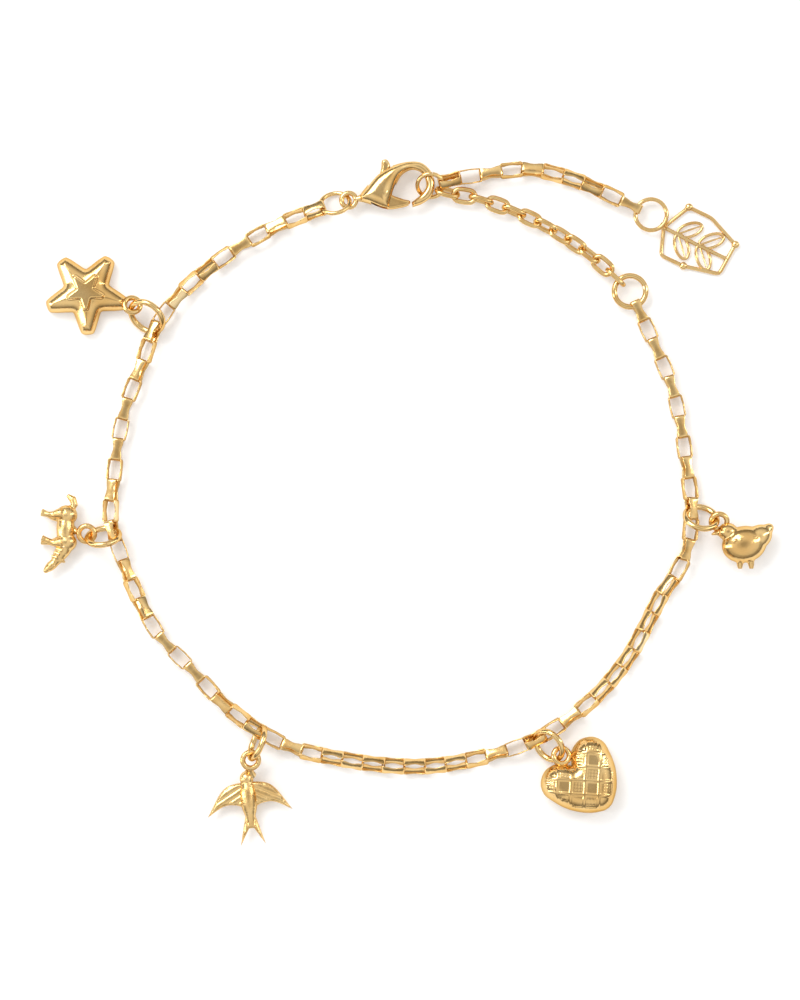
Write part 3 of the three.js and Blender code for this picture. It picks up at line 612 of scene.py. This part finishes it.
def ball(at, radius, squash=1.0, around=20, rows=10):
    """A smooth ball or button, flattened by squash."""
    points = [Vector((at[0], at[1], at[2] - radius * squash))]
    for row in range(1, rows):
        level = -math.pi / 2 + math.pi * row / rows
        for turn in full_turn(around):
            points.append(Vector((at[0] + radius * math.cos(level) * math.cos(turn),
                                  at[1] + radius * math.cos(level) * math.sin(turn),
                                  at[2] + radius * squash * math.sin(level))))
    points.append(Vector((at[0], at[1], at[2] + radius * squash)))
    faces = [(0, 1 + (k + 1) % around, 1 + k) for k in range(around)]
    for row in range(rows - 2):
        for k in range(around):
            a, b = 1 + row * around, 1 + (row + 1) * around
            faces.append((a + k, a + (k + 1) % around, b + (k + 1) % around, b + k))
    last = 1 + (rows - 2) * around
    faces += [(last + k, last + (k + 1) % around, len(points) - 1) for k in range(around)]
    return points, faces


def rod(path, radii, sides=12):
    """A round bar through the points of path, with a radius at each, closed at both ends."""
    path = [Vector(p) for p in path]
    points, faces = [], []
    side = None
    for i, at in enumerate(path):
        run = (path[min(i + 1, len(path) - 1)] - path[max(i - 1, 0)]).normalized()
        guide = side if side is not None else Vector((0.13, 0.21, 0.97))
        side = (guide - run * guide.dot(run)).normalized()
        other = run.cross(side)
        for a in full_turn(sides):
            points.append(at + (side * math.cos(a) + other * math.sin(a)) * radii[i])
    for i in range(len(path) - 1):
        for k in range(sides):
            j = (k + 1) % sides
            faces.append((i * sides + k, i * sides + j, (i + 1) * sides + j, (i + 1) * sides + k))
    faces.append(tuple(reversed(range(sides))))
    faces.append(tuple(range((len(path) - 1) * sides, len(path) * sides)))
    return points, faces


def gather(*shapes):
    """One shape of several, each a list of points and a list of faces."""
    points, faces = [], []
    for more_points, more_faces in shapes:
        faces += [tuple(len(points) + k for k in face) for face in more_faces]
        points += more_points
    return points, faces


def place_shape(shape, matrix):
    return [matrix @ Vector(p) for p in shape[0]], shape[1]


def work_mesh(piece, kind, **settings):
    """Applies one modifier to a piece's mesh for good."""
    modifier = piece.modifiers.new(kind.lower(), kind)
    for key, value in settings.items():
        setattr(modifier, key, value)
    view = bpy.context.evaluated_depsgraph_get()
    mesh = bpy.data.meshes.new_from_object(piece.evaluated_get(view))
    piece.modifiers.clear()
    old = piece.data
    piece.data = mesh
    bpy.data.meshes.remove(old)
    mesh.name = piece.name


def cut_with(piece, cutter_shape):
    """Cuts a shape out of a piece."""
    cutter = add_piece(piece.name + "_cutter", *cutter_shape, cast_gold, smooth=False)
    work_mesh(piece, "BOOLEAN", operation="DIFFERENCE", solver="EXACT", object=cutter)
    bpy.data.objects.remove(cutter)


def block(low, high):
    """A plain block, to cut with."""
    points = [Vector((x, y, z)) for z in (low[2], high[2]) for y in (low[1], high[1])
              for x in (low[0], high[0])]
    return points, [(0, 2, 3, 1), (4, 5, 7, 6), (0, 1, 5, 4), (2, 6, 7, 3), (0, 4, 6, 2), (1, 3, 7, 5)]


def clasp_rows(rows):
    return [(x * CLASP_LENGTH, y * CLASP_HALF_WIDTH) for x, y in rows]


def clasp_height(at, distance):
    height = (CLASP_THICKNESS + (HOOK_THICKNESS - CLASP_THICKNESS) * hook_share(at.x)) / 2
    return height * swell(distance, BODY_ROUNDING + (HOOK_ROUNDING - BODY_ROUNDING) * hook_share(at.x + 1.0))


clasp_line = rounded_line(clasp_rows(CLASP_OUTLINE), set(clasp_rows(CLASP_CORNERS)), 8)
body_shape = cast_shape(
    clasp_line, 0.14, 0.2, clasp_height, lambda at, distance: -clasp_height(at, distance))
clasp_body = add_piece("clasp_casting", *place_shape(body_shape, clasp_matrix), cast_gold)
slot_half = LEVER_THICKNESS / 2 + LEVER_CLEARANCE
slot = block((SLOT_FROM, -SLOT_REACH, -slot_half), (SLOT_TO, SLOT_REACH, slot_half))
cut_with(clasp_body, place_shape(slot, clasp_matrix))
keep_edges_crisp(clasp_body, 40)
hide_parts("clasp_body")
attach(clasp_body, "bracelet")

rivet_top = CLASP_THICKNESS / 2 - RIVET_SINK
fittings = gather(
    ball((*PIN_AT, rivet_top), RIVET_RADIUS, RIVET_SQUASH),
    ball((*PIN_AT, -rivet_top), RIVET_RADIUS, RIVET_SQUASH),
    rod([(*PIN_AT, -rivet_top), (*PIN_AT, rivet_top)], [PIN_RADIUS, PIN_RADIUS], 20),
    rod([(0.75, 0, 0), (1.1, 0, 0), (1.5, 0, 0), (2.1, 0, 0)], [0.26, 0.34, 0.46, 0.5], 16),
    open_ring(TAIL_EYE, around=40, sides=14),
)
clasp_fittings = add_piece("clasp_eye_and_rivet", *place_shape(fittings, clasp_matrix), cast_gold)
keep_edges_crisp(clasp_fittings, 60)
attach(clasp_fittings, "bracelet")


def lever_height(at, distance):
    return LEVER_THICKNESS / 2 * swell(distance, LEVER_ROUNDING)


lever_line = rounded_line(clasp_rows(LEVER_OUTLINE), set(), 8)
lever_shape = cast_shape(
    lever_line, 0.12, 0.15, lever_height, lambda at, distance: -lever_height(at, distance))
clasp_lever = add_piece("clasp_lever_casting", *place_shape(lever_shape, clasp_matrix), cast_gold)
pin_hole = rod(
    [(*PIN_AT, -PIN_HOLE_REACH), (*PIN_AT, PIN_HOLE_REACH)], [PIN_RADIUS + LEVER_CLEARANCE] * 2, 24)
cut_with(clasp_lever, place_shape(pin_hole, clasp_matrix))
keep_edges_crisp(clasp_lever, 40)
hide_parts("clasp_lever")
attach(clasp_lever, "lever")

# Star: a hollow-looking puffed casting, in fact solid, with a flat back, blunt tips and a smaller star
# standing proud on its face. Its eye is cast on with a short neck, as on every charm here.
charm_gold = gold_material(
    "charm gold", edge_wear=0.12, shine=0.11, dullness=0.24, patch_size=260.0, depth=0.00002)
STAR_REACH, STAR_NOTCH, STAR_BLUNT, STAR_THICKNESS = 4.4, 2.65, 12, 2.35
STAR_ROUNDING = 1.6
STAR_BACK = 0.6
SMALL_REACH, SMALL_NOTCH, SMALL_BLUNT, SMALL_RISE = 1.95, 1.0, 8, 0.3
SMALL_SLOPE = 0.16
CHARM_CREASE = 45


def star_line(reach, notch, blunt, steps):
    """A star of five arms, each cut off square this many degrees to both sides of its middle."""
    rows = []
    arm_rows = [
        (reach * 0.93, -blunt), (reach * 1.03, -blunt * 0.5), (reach * 1.03, blunt * 0.5),
        (reach * 0.93, blunt), (notch * 1.03, 31), (notch, 36), (notch * 1.03, 41)]
    for arm in range(5):
        for radius, angle in arm_rows:
            turn = math.radians(arm * 72 + angle)
            rows.append((radius * math.cos(turn), radius * math.sin(turn)))
    return rounded_line(rows, set(), steps)


small_star = star_line(SMALL_REACH, SMALL_NOTCH, SMALL_BLUNT, 2)


def inside(at, outline):
    """True where a flat point lies inside the outline."""
    within = False
    for a, b in zip(outline, outline[1:] + outline[:1]):
        if (a.y > at.y) != (b.y > at.y) and at.x < (b.x - a.x) * (at.y - a.y) / (b.y - a.y) + a.x:
            within = not within
    return within


def star_top(at, distance):
    rise = (STAR_THICKNESS - SMALL_RISE - STAR_BACK) * swell(distance, STAR_ROUNDING)
    if at.length < SMALL_REACH * 1.2:
        near = float(edge_distance([at], small_star)[0])
        step = 0.5 + (0.5 if inside(at, small_star) else -0.5) * min(1, near / SMALL_SLOPE)
        share = step * step * (3 - 2 * step)
        rise += (STAR_THICKNESS - STAR_BACK - rise) * share
    return STAR_BACK + rise


def flat_back(depth, reach):
    """The height of a charm's back: depth at its edge, and flat on the table from reach inwards."""
    return lambda at, distance: depth * (1 - swell(distance, reach))


def eye_shape(charm, neck):
    """The charm's cast eye and its neck, which ends at the place neck seen from the eye."""
    hanging = HANGINGS[charm]
    middle = eye_at[charm]
    ring = place_shape(
        open_ring({"radius": EYE_RADIUS, "wire": EYE_WIRE}, around=40, sides=14),
        Matrix.Translation(middle) @ (turned(hanging["turn"]) @ turned(hanging["eye_tilt"], "X")))
    to = Vector((middle.x + neck[0], middle.y + neck[1], neck[2]))
    edge = EYE_RADIUS / math.hypot(neck[0], neck[1])
    start = Vector((middle.x + neck[0] * edge, middle.y + neck[1] * edge, middle.z))
    stem = rod([start, start.lerp(to, 0.35), start.lerp(to, 0.7), to],
               [EYE_WIRE * 0.42, EYE_WIRE * 0.5, EYE_WIRE * 0.66, EYE_WIRE * 0.95], 14)
    return gather(ring, stem)


def add_charm(charm, shape, at, turn, neck, material):
    """Places a charm's shape at its distance from the eye, adds the eye, and hangs it on the bracelet."""
    middle = eye_at[charm]
    place = Matrix.Translation((middle.x + at[0], middle.y + at[1], 0)) @ turned(turn)
    whole = gather(place_shape(shape, place), eye_shape(charm, neck))
    piece = add_piece(charm + "_casting", *whole, material)
    keep_edges_crisp(piece, CHARM_CREASE)
    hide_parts(charm + "_charm")
    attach(piece, "bracelet")
    return piece


star_outline = star_line(STAR_REACH, STAR_NOTCH, STAR_BLUNT, 5)
star_shape = cast_shape(star_outline, 0.1, 0.3, star_top, flat_back(STAR_BACK, 0.5))
add_charm("star", star_shape, (-5.05, 1.45), -16, (-1.9, 0.55, 0.9), charm_gold)

# Heart: a plump solid casting, flat at the back. Its face is crossed by two sets of slanting ribs, and
# every other lozenge between them is stippled while the rest stay bright, which hides knocks in wear.
HEART_WIDTH, HEART_LENGTH, HEART_THICKNESS = 8.5, 7.5, 3.3
HEART_HALF = [
    (0, 0), (0.2, 0.14), (0.56, 0.195), (0.87, 0.11), (1, -0.04), (0.96, -0.2), (0.8, -0.44),
    (0.5, -0.66), (0.18, -0.785), (0, -0.81),
]
HEART_BACK, HEART_ROUNDING, HEART_BORDER = 1.25, 1.7, 0.45
LATTICE_DROP = 0.28
RIB_SPACING, RIB_WIDTH, RIB_HEIGHT = 1.5, 0.3, 0.09
STIPPLE_SPACING, STIPPLE_HEIGHT = 0.34, 0.045


def heart_line():
    right = [(x * HEART_WIDTH / 2, y * HEART_LENGTH) for x, y in HEART_HALF]
    left = [(-x, y) for x, y in right[-2:0:-1]]
    rows = list(reversed(right + left))
    return rounded_line(rows, {right[0], right[-1]}, 9)


def heart_relief(at):
    """Height of the ribs and of the stippling between them at a place on the heart's face."""
    u = (at.x + at.y + LATTICE_DROP * HEART_LENGTH) / math.sqrt(2) / RIB_SPACING
    v = (at.x - at.y - LATTICE_DROP * HEART_LENGTH) / math.sqrt(2) / RIB_SPACING
    from_rib = min(abs(u - round(u)), abs(v - round(v))) * RIB_SPACING
    rib_edge = RIB_WIDTH * 0.62
    if from_rib < rib_edge:
        return RIB_HEIGHT * (1 - (from_rib / rib_edge) ** 4)
    if (math.floor(u) + math.floor(v)) % 2 == 0:
        dot_u, dot_v = (0.5 + 0.5 * math.cos(2 * math.pi * w * RIB_SPACING / STIPPLE_SPACING) for w in (u, v))
        return STIPPLE_HEIGHT * (dot_u * dot_v) * min(1, (from_rib - RIB_WIDTH * 0.6) / 0.12)
    return 0


def heart_top(at, distance):
    dome = (HEART_THICKNESS - HEART_BACK) * swell(distance, HEART_ROUNDING)
    return HEART_BACK + dome + heart_relief(at) * min(1, distance / HEART_BORDER)


heart_shape = cast_shape(heart_line(), 0.075, 0.5, heart_top, flat_back(HEART_BACK, 1.0))
add_charm("heart", heart_shape, (1.1, -1.05), 41.7, (0.5, -1.5, 1.5), charm_gold)

# Bird in flight: cast in one from a carved master, its wings thin with grooved feathers and a forked tail.
# The body is modelled as joined rounds that are melted together, as wax is on a master.
SWALLOW_LENGTH, SWALLOW_SPAN, SWALLOW_GIRTH, WING_THICKNESS = 7.2, 9.2, 1.9, 0.8
GROOVE_DEPTH = 0.09
carved_gold = gold_material(
    "carved gold", edge_wear=0.3, shine=0.14, dullness=0.34, patch_size=400.0, mark_size=1800.0,
    depth=0.00016)


def egg(at, length, breadth, height, turn=0.0, lean=0.0):
    """A smooth round, longer one way, turned in the plane and leaning up or down along its length."""
    shape = ball((0, 0, 0), 0.5, 1.0, 24, 14)
    turns = turned(turn) @ turned(-lean, "Y")
    return place_shape(shape, Matrix.Translation(at) @ turns @ Matrix.Diagonal((length, breadth, height, 1)))


def melt(shapes, grain, passes):
    """Joins rounds and rods into one smooth skin; grain is the size of its facets in millimetres."""
    wax = mesh_object("wax", *gather(*shapes))
    work_mesh(wax, "REMESH", mode="VOXEL", voxel_size=grain)
    work_mesh(wax, "SMOOTH", factor=0.5, iterations=passes)
    skin = [v.co.copy() for v in wax.data.vertices], [tuple(face.vertices) for face in wax.data.polygons]
    old = wax.data
    bpy.data.objects.remove(wax)
    bpy.data.meshes.remove(old)
    return skin


def feather_shape(rows, corners, thickness, height, vanes, lean):
    """A thin cast wing or tail, grooved into vanes that run along lean."""
    line = rounded_line(rows, corners, 7)
    across = Vector((-math.sin(math.radians(lean)), math.cos(math.radians(lean))))

    def top(at, distance):
        groove = GROOVE_DEPTH * (1 - abs(math.sin(math.pi * at.dot(across) / vanes))) ** 2
        return height + thickness / 2 * swell(distance, 0.3) - groove * min(1, distance / 0.25)

    def bottom(at, distance):
        return height - thickness / 2 * swell(distance, 0.3)

    return cast_shape(line, 0.085, 0.18, top, bottom)


swallow_middle = SWALLOW_GIRTH / 2


def swallow_spot(along, aside=0):
    """A place on the swallow's middle plane, along it as a share of its length."""
    return (aside, along * SWALLOW_LENGTH, swallow_middle)


def swallow_rows(rows):
    return [(x * SWALLOW_SPAN / 2, y * SWALLOW_LENGTH) for x, y in rows]


wing_half = swallow_rows([
    (0, 0.26), (0.3, 0.3), (0.62, 0.2), (1, -0.16), (0.6, -0.02), (0.3, -0.02), (0, -0.08)])
right_wing = list(reversed(wing_half))
left_wing = [(-x, y) for x, y in wing_half]
fork = swallow_rows([
    (-0.1, -0.15), (-0.3, -0.64), (-0.06, -0.38), (0.06, -0.38), (0.3, -0.64), (0.1, -0.15)])
swallow_body = melt([
    egg(swallow_spot(0.08), SWALLOW_GIRTH * 0.98, SWALLOW_LENGTH * 0.66, SWALLOW_GIRTH * 0.98),
    egg(swallow_spot(0.36), SWALLOW_GIRTH * 0.8, SWALLOW_GIRTH * 0.88, SWALLOW_GIRTH * 0.8),
    rod([swallow_spot(0.4), swallow_spot(0.47, 0.1), swallow_spot(0.525, 0.2)], [0.42, 0.24, 0.1], 12),
    rod([swallow_spot(-0.1), swallow_spot(-0.24), swallow_spot(-0.36)], [0.75, 0.5, 0.34], 14),
], grain=0.11, passes=5)
swallow_eyes = [
    ball((side * 0.42, 0.385 * SWALLOW_LENGTH, swallow_middle + 0.52), 0.15, 0.7, 12, 6) for side in (-1, 1)]
swallow_shape = gather(
    swallow_body, *swallow_eyes,
    feather_shape(right_wing, {right_wing[3]}, WING_THICKNESS, swallow_middle, 0.62, -28),
    feather_shape(left_wing, {left_wing[3]}, WING_THICKNESS, swallow_middle, 0.62, 28),
    feather_shape(fork, set(fork), WING_THICKNESS * 0.8, swallow_middle, 0.36, 90),
)
add_charm("swallow", swallow_shape, (-0.2, -4.6), 6, (0, -1.6, 0.95), carved_gold)

# Four-legged animal: a small full casting lying on its side, with a thick neck, a carved mane and tail, and
# muscles marked on its shoulder and haunch. It hangs from its back.
STEED_LENGTH, STEED_GIRTH, STEED_LEG = 4.3, 2.3, 2.0
steed_middle = STEED_GIRTH / 2


def steed_spot(along, y, lift=0):
    """A place on the animal, along it as a share of its length, and lifted from its middle plane."""
    return (STEED_LENGTH * along, y, steed_middle + lift)


def steed_leg(along, spread, height, reach):
    """A leg bent at the knee, from the belly out, ending in a hoof."""
    top_x = along * STEED_LENGTH
    end_x = (along + spread) * STEED_LENGTH
    low = -STEED_GIRTH * 0.3 - STEED_LEG * reach
    knee = (top_x + (end_x - top_x) * 0.35 + 0.16, low * 0.55, height)
    return rod([(top_x, -0.3, height), ((top_x + knee[0]) / 2, low * 0.32, height), knee,
                (end_x * 0.96 + knee[0] * 0.04, low * 0.9, height), (end_x - 0.08, low, height)],
               [0.66, 0.52, 0.35, 0.29, 0.4], 12)


steed_body = melt([
    egg(steed_spot(0, 0), STEED_LENGTH * 0.98, STEED_GIRTH * 0.86, STEED_GIRTH * 0.92),
    egg(steed_spot(-0.35, 0.1), 2.2, 2.35, 2.15),
    egg(steed_spot(0.33, 0.06), 2.1, 2.35, 2.15),
    rod([steed_spot(0.32, 0.1), steed_spot(0.56, -0.34), steed_spot(0.8, -1.05)], [1.0, 0.82, 0.58], 16),
    egg(steed_spot(0.9, -1.45), 2.0, 1.05, 1.1, -50),
    egg(steed_spot(1.02, -2.02), 0.85, 0.66, 0.72, -45),
    steed_leg(-0.3, -0.14, 0.5, 1.0), steed_leg(-0.4, 0.02, STEED_GIRTH - 0.5, 0.93),
    steed_leg(0.26, 0.06, 0.5, 1.0), steed_leg(0.34, -0.1, STEED_GIRTH - 0.5, 0.9),
    rod([steed_spot(-0.44, 0.5), steed_spot(-0.62, 0.95), steed_spot(-0.76, 0.75), steed_spot(-0.86, 0.15)],
        [0.34, 0.4, 0.42, 0.18], 12),
    rod([steed_spot(0.78, -0.6, 0.26), steed_spot(0.83, 0.06, 0.34)], [0.28, 0.12], 10),
], grain=0.1, passes=4)
mane = []
for k in range(5):
    crest, fall = STEED_LENGTH * (0.42 + 0.09 * k), 0.26 * k
    mane.append(rod([
        (crest, 0.42 - fall, steed_middle + 0.34), (crest - 0.3, 0.12 - fall, steed_middle + 0.86 - 0.06 * k),
        (crest - 0.5, -0.42 - fall, steed_middle + 0.8 - 0.07 * k)], [0.14, 0.2, 0.07], 10))
steed_eye = ball(steed_spot(0.92, -1.12, 0.4), 0.13, 0.7, 12, 6)
steed_shape = gather(steed_body, steed_eye, *mane)
add_charm("steed", steed_shape, (-2.3, 0.5), -90, (-1.5, 0.35, 0.95), carved_gold)

# Plump bird: a rounded casting with a folded wing laid on its side in three rows of scalloped feathers, a
# short beak, two stub feet and a punched eye.
BIRD_LENGTH, BIRD_HEIGHT, BIRD_THICKNESS = 4.9, 4.0, 3.1
bird_middle = BIRD_THICKNESS / 2


def bird_spot(x, y, lift=0, aside=0):
    """A place on the bird, as shares of its length and height, and lifted from its middle plane."""
    return (BIRD_LENGTH * x + aside, BIRD_HEIGHT * y, bird_middle + lift)


def bird_foot(x, lean):
    return rod([bird_spot(x, -0.36), bird_spot(x, -0.55, aside=lean), bird_spot(x, -0.66, aside=lean)],
               [0.42, 0.34, 0.26], 12)


bird_body = melt([
    egg(bird_spot(0, 0), BIRD_LENGTH, BIRD_HEIGHT, BIRD_THICKNESS, 12),
    egg(bird_spot(-0.36, 0.34), 2.2, 1.95, 2.0),
    rod([bird_spot(-0.5, 0.34), bird_spot(-0.62, 0.31), bird_spot(-0.73, 0.26)], [0.42, 0.3, 0.1], 12),
    egg(bird_spot(0.3, 0.18), 3.4, 2.6, 2.3, 36),
    egg(bird_spot(0.47, 0.36), 2.1, 1.3, 1.3, 40),
    bird_foot(-0.08, -0.08), bird_foot(0.14, 0.06),
], grain=0.11, passes=5)
wing_feathers = []
for row, (count, reach) in enumerate(((4, 0.62), (3, 0.7), (2, 0.8))):
    for k in range(count):
        at = (-0.95 + 0.62 * k + 0.5 * row, 0.32 - 0.42 * row + 0.1 * k,
              BIRD_THICKNESS * (0.93 - 0.02 * row - 0.02 * abs(k - 1)))
        wing_feathers.append(egg(at, reach * 1.5, 0.55, 0.34, 18, -6))
bird_eye = ball(bird_spot(-0.42, 0.4, 0.88), 0.17, 0.7, 14, 8)
bird_shape = gather(bird_body, bird_eye, *wing_feathers)
add_charm("bird", bird_shape, (2.7, -2.45), 0, (0.95, -1.0, 1.5), charm_gold)

# End tag: a light openwork tag of bent wire, soldered at its corners, with four cast beads and a leaf
# sprig inside. Its ring is soldered on, so tag and ring are one piece.
TAG_LENGTH, TAG_WIDTH, TAG_WIRE, TAG_BEAD, TAG_BEND = 8.1, 7.3, 0.42, 0.85, 0.35
TAG_FROM_RING = (5.15, -2.75)
TAG_FRAME = [
    (-0.46, 0.2), (-0.5, -0.22), (-0.2, -0.38), (0.28, -0.5), (0.5, -0.06), (0.18, 0.34), (-0.12, 0.5)]
TAG_BEADS = (0, 2, 4, 6)
TAG_STEM = [(-0.46, 0.2), (-0.02, -0.06), (0.39, -0.28)]
TAG_LEAVES = [(0.22, 1), (0.22, -1), (0.56, 1), (0.56, -1)]
LEAF_LENGTH, LEAF_WIDTH, LEAF_SPREAD = 2.8, 1.4, 46
tag_gold = gold_material("tag gold", edge_wear=0.3, shine=0.1, dullness=0.22, patch_size=500.0)


def tag_spot(spot, height=TAG_WIRE / 2):
    """A place on the tag, as shares of its length and width."""
    return Vector((spot[0] * TAG_LENGTH, spot[1] * TAG_WIDTH, height))


def wire_through(spots, closed=False):
    """Wire bent through the spots, rounded at each bend as pliers leave it."""
    path = []
    count = len(spots)
    for i, spot in enumerate(spots):
        if not closed and i in (0, count - 1):
            path.append(spot)
        else:
            before, after = spots[i - 1], spots[(i + 1) % count]
            a = spot + (before - spot).normalized() * TAG_BEND
            b = spot + (after - spot).normalized() * TAG_BEND
            path += [a, (a + spot * 2 + b) / 4, b]
    if closed:
        path.append(path[0])
    return rod(path, [TAG_WIRE / 2] * len(path), 12)


def leaf_shape(along, side):
    """A leaf on the stem: an oval of thin wire with a vein down the middle."""
    start, end = tag_spot(TAG_STEM[0]), tag_spot(TAG_STEM[-1])
    turn = math.atan2(end.y - start.y, end.x - start.x) + math.radians(side * LEAF_SPREAD)
    half, breadth = LEAF_LENGTH / 2, LEAF_WIDTH / 2
    rim = [(half + half * math.cos(a), breadth * math.sin(a), 0) for a in [*full_turn(32), 2 * math.pi]]
    vein = rod([(0.05, 0, 0), (half, 0.03, 0.02), (LEAF_LENGTH * 0.95, 0, 0)], [0.1, 0.12, 0.07], 8)
    return place_shape(gather(rod(rim, [0.16] * 33, 10), vein),
                       Matrix.Translation(start.lerp(end, along)) @ Matrix.Rotation(turn, 4, "Z"))


tag_shape = gather(
    wire_through([tag_spot(p) for p in TAG_FRAME], closed=True),
    wire_through([tag_spot(p) for p in TAG_STEM]),
    *[ball(tag_spot(TAG_FRAME[k], TAG_BEAD * 0.35), TAG_BEAD / 2, 0.72, 18, 10) for k in TAG_BEADS],
    *[leaf_shape(*leaf) for leaf in TAG_LEAVES],
)
ring_x, ring_y, ring_z = TAG_RING["at"]
tag_at = Vector((ring_x + TAG_FROM_RING[0], ring_y + TAG_FROM_RING[1], 0))
solder = rod([(ring_x + 1.28, ring_y - 1.03, ring_z), (ring_x + 1.4, ring_y - 1.2, 0.5),
              (ring_x + 1.5, ring_y - 1.35, TAG_WIRE / 2)], [0.28, 0.3, 0.3], 12)
tag_piece = add_piece("end_tag_openwork", *gather(
    place_shape(tag_shape, Matrix.Translation(tag_at)), solder,
    place_shape(open_ring(TAG_RING), ring_matrix(TAG_RING))), tag_gold)
keep_edges_crisp(tag_piece, 60)
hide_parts("end_tag")
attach(tag_piece, "bracelet")

# The white table that the bracelet lies on, lit softly from all round as for a shop picture, with strips of
# stronger light at the sides for the glints. A darker ring low in the sky gives the gold its depth. The paper
# also glows faintly by itself: painted light that lightens the shadows cast on it.
TABLE_REACH = 1.2
PAPER_WHITE, PAPER_PAINTED_GLOW = (0.82, 0.82, 0.825, 1), 0.2
table_corners = ((-1, -1), (1, -1), (1, 1), (-1, 1))
table_top = mesh_object(
    "table", [(x * TABLE_REACH, y * TABLE_REACH, cad_box[0][2]) for x, y in table_corners], [(0, 1, 2, 3)])
paper = bpy.data.materials.new("white paper")
paper.use_nodes = True
paper_shader = paper.node_tree.nodes["Principled BSDF"]
# The emission is painted light: the paper glows so that the shadows on it stay pale.
for key, value in (("Base Color", PAPER_WHITE), ("Emission Color", (1, 1, 1, 1)), ("Roughness", 0.85),
                   ("Emission Strength", PAPER_PAINTED_GLOW), ("Specular IOR Level", 0.2)):
    paper_shader.inputs[key].default_value = value
table_top.data.materials.append(paper)

sky = bpy.data.worlds.new("studio")
bpy.context.scene.world = sky
sky.use_nodes = True
sky_nodes, sky_links = sky.node_tree.nodes, sky.node_tree.links
facing = sky_nodes.new("ShaderNodeTexCoord")
split = sky_nodes.new("ShaderNodeSeparateXYZ")
fade = sky_nodes.new("ShaderNodeValToRGB")
sky_links.new(facing.outputs["Generated"], split.inputs["Vector"])
sky_links.new(split.outputs["Z"], fade.inputs["Fac"])
sky_links.new(fade.outputs["Color"], sky_nodes["Background"].inputs["Color"])
SKY_TONES = [
    (0.0, 0.16), (0.22, 0.28), (0.42, 0.60), (0.62, 0.92), (0.8, 1.0), (0.93, 0.9), (0.985, 0.54),
    (1.0, 0.47)]
for k, (height, tone) in enumerate(SKY_TONES):
    stop = fade.color_ramp.elements[k] if k < 2 else fade.color_ramp.elements.new(height)
    stop.position = height
    stop.color = (tone, tone * 0.985, tone * 0.96, 1)


def add_light(name, place, width, height, power):
    """A rectangular light turned to the middle of the table, its place and size in metres."""
    lamp = bpy.data.lights.new(name, "AREA")
    lamp.shape = "RECTANGLE"
    lamp.size, lamp.size_y = width, height
    lamp.energy = power
    made = bpy.data.objects.new(name, lamp)
    made.location = place
    made.rotation_euler = (-Vector(place)).to_track_quat("-Z", "Y").to_euler()
    bpy.context.collection.objects.link(made)


add_light("overhead_softbox", (-0.30, 0.38, 0.5), 0.4, 0.35, 2.6)
add_light("left_strip", (-0.5, -0.05, 0.22), 0.08, 0.5, 0.8)
add_light("right_strip", (0.5, 0.15, 0.3), 0.08, 0.5, 0.7)

# Camera: almost straight above and 340 mm away. The photograph's frame is 86.4 mm wide and 108 mm high on
# the table, and the camera aims at the middle of the chain's thickness.
PHOTO_HEIGHT = 0.108
CAMERA_ABOVE = 0.34
CAMERA_ELEVATION = math.radians(87)
SENSOR_HEIGHT = 36
AIM_HEIGHT = 0.0012
aim = Vector((lay.x * MM, lay.y * MM, AIM_HEIGHT))
eye = bpy.data.cameras.new("camera")
eye.sensor_fit = "VERTICAL"
eye.sensor_height = SENSOR_HEIGHT
eye.lens = SENSOR_HEIGHT * CAMERA_ABOVE / PHOTO_HEIGHT
eye.clip_start = 0.01
camera = bpy.data.objects.new("camera", eye)
camera.location = aim + Vector((0, -math.cos(CAMERA_ELEVATION), math.sin(CAMERA_ELEVATION))) * CAMERA_ABOVE
camera.rotation_euler = (aim - camera.location).to_track_quat("-Z", "Y").to_euler()
bpy.context.collection.objects.link(camera)
bpy.context.scene.camera = camera
bpy.context.scene.view_settings.view_transform = "Standard"
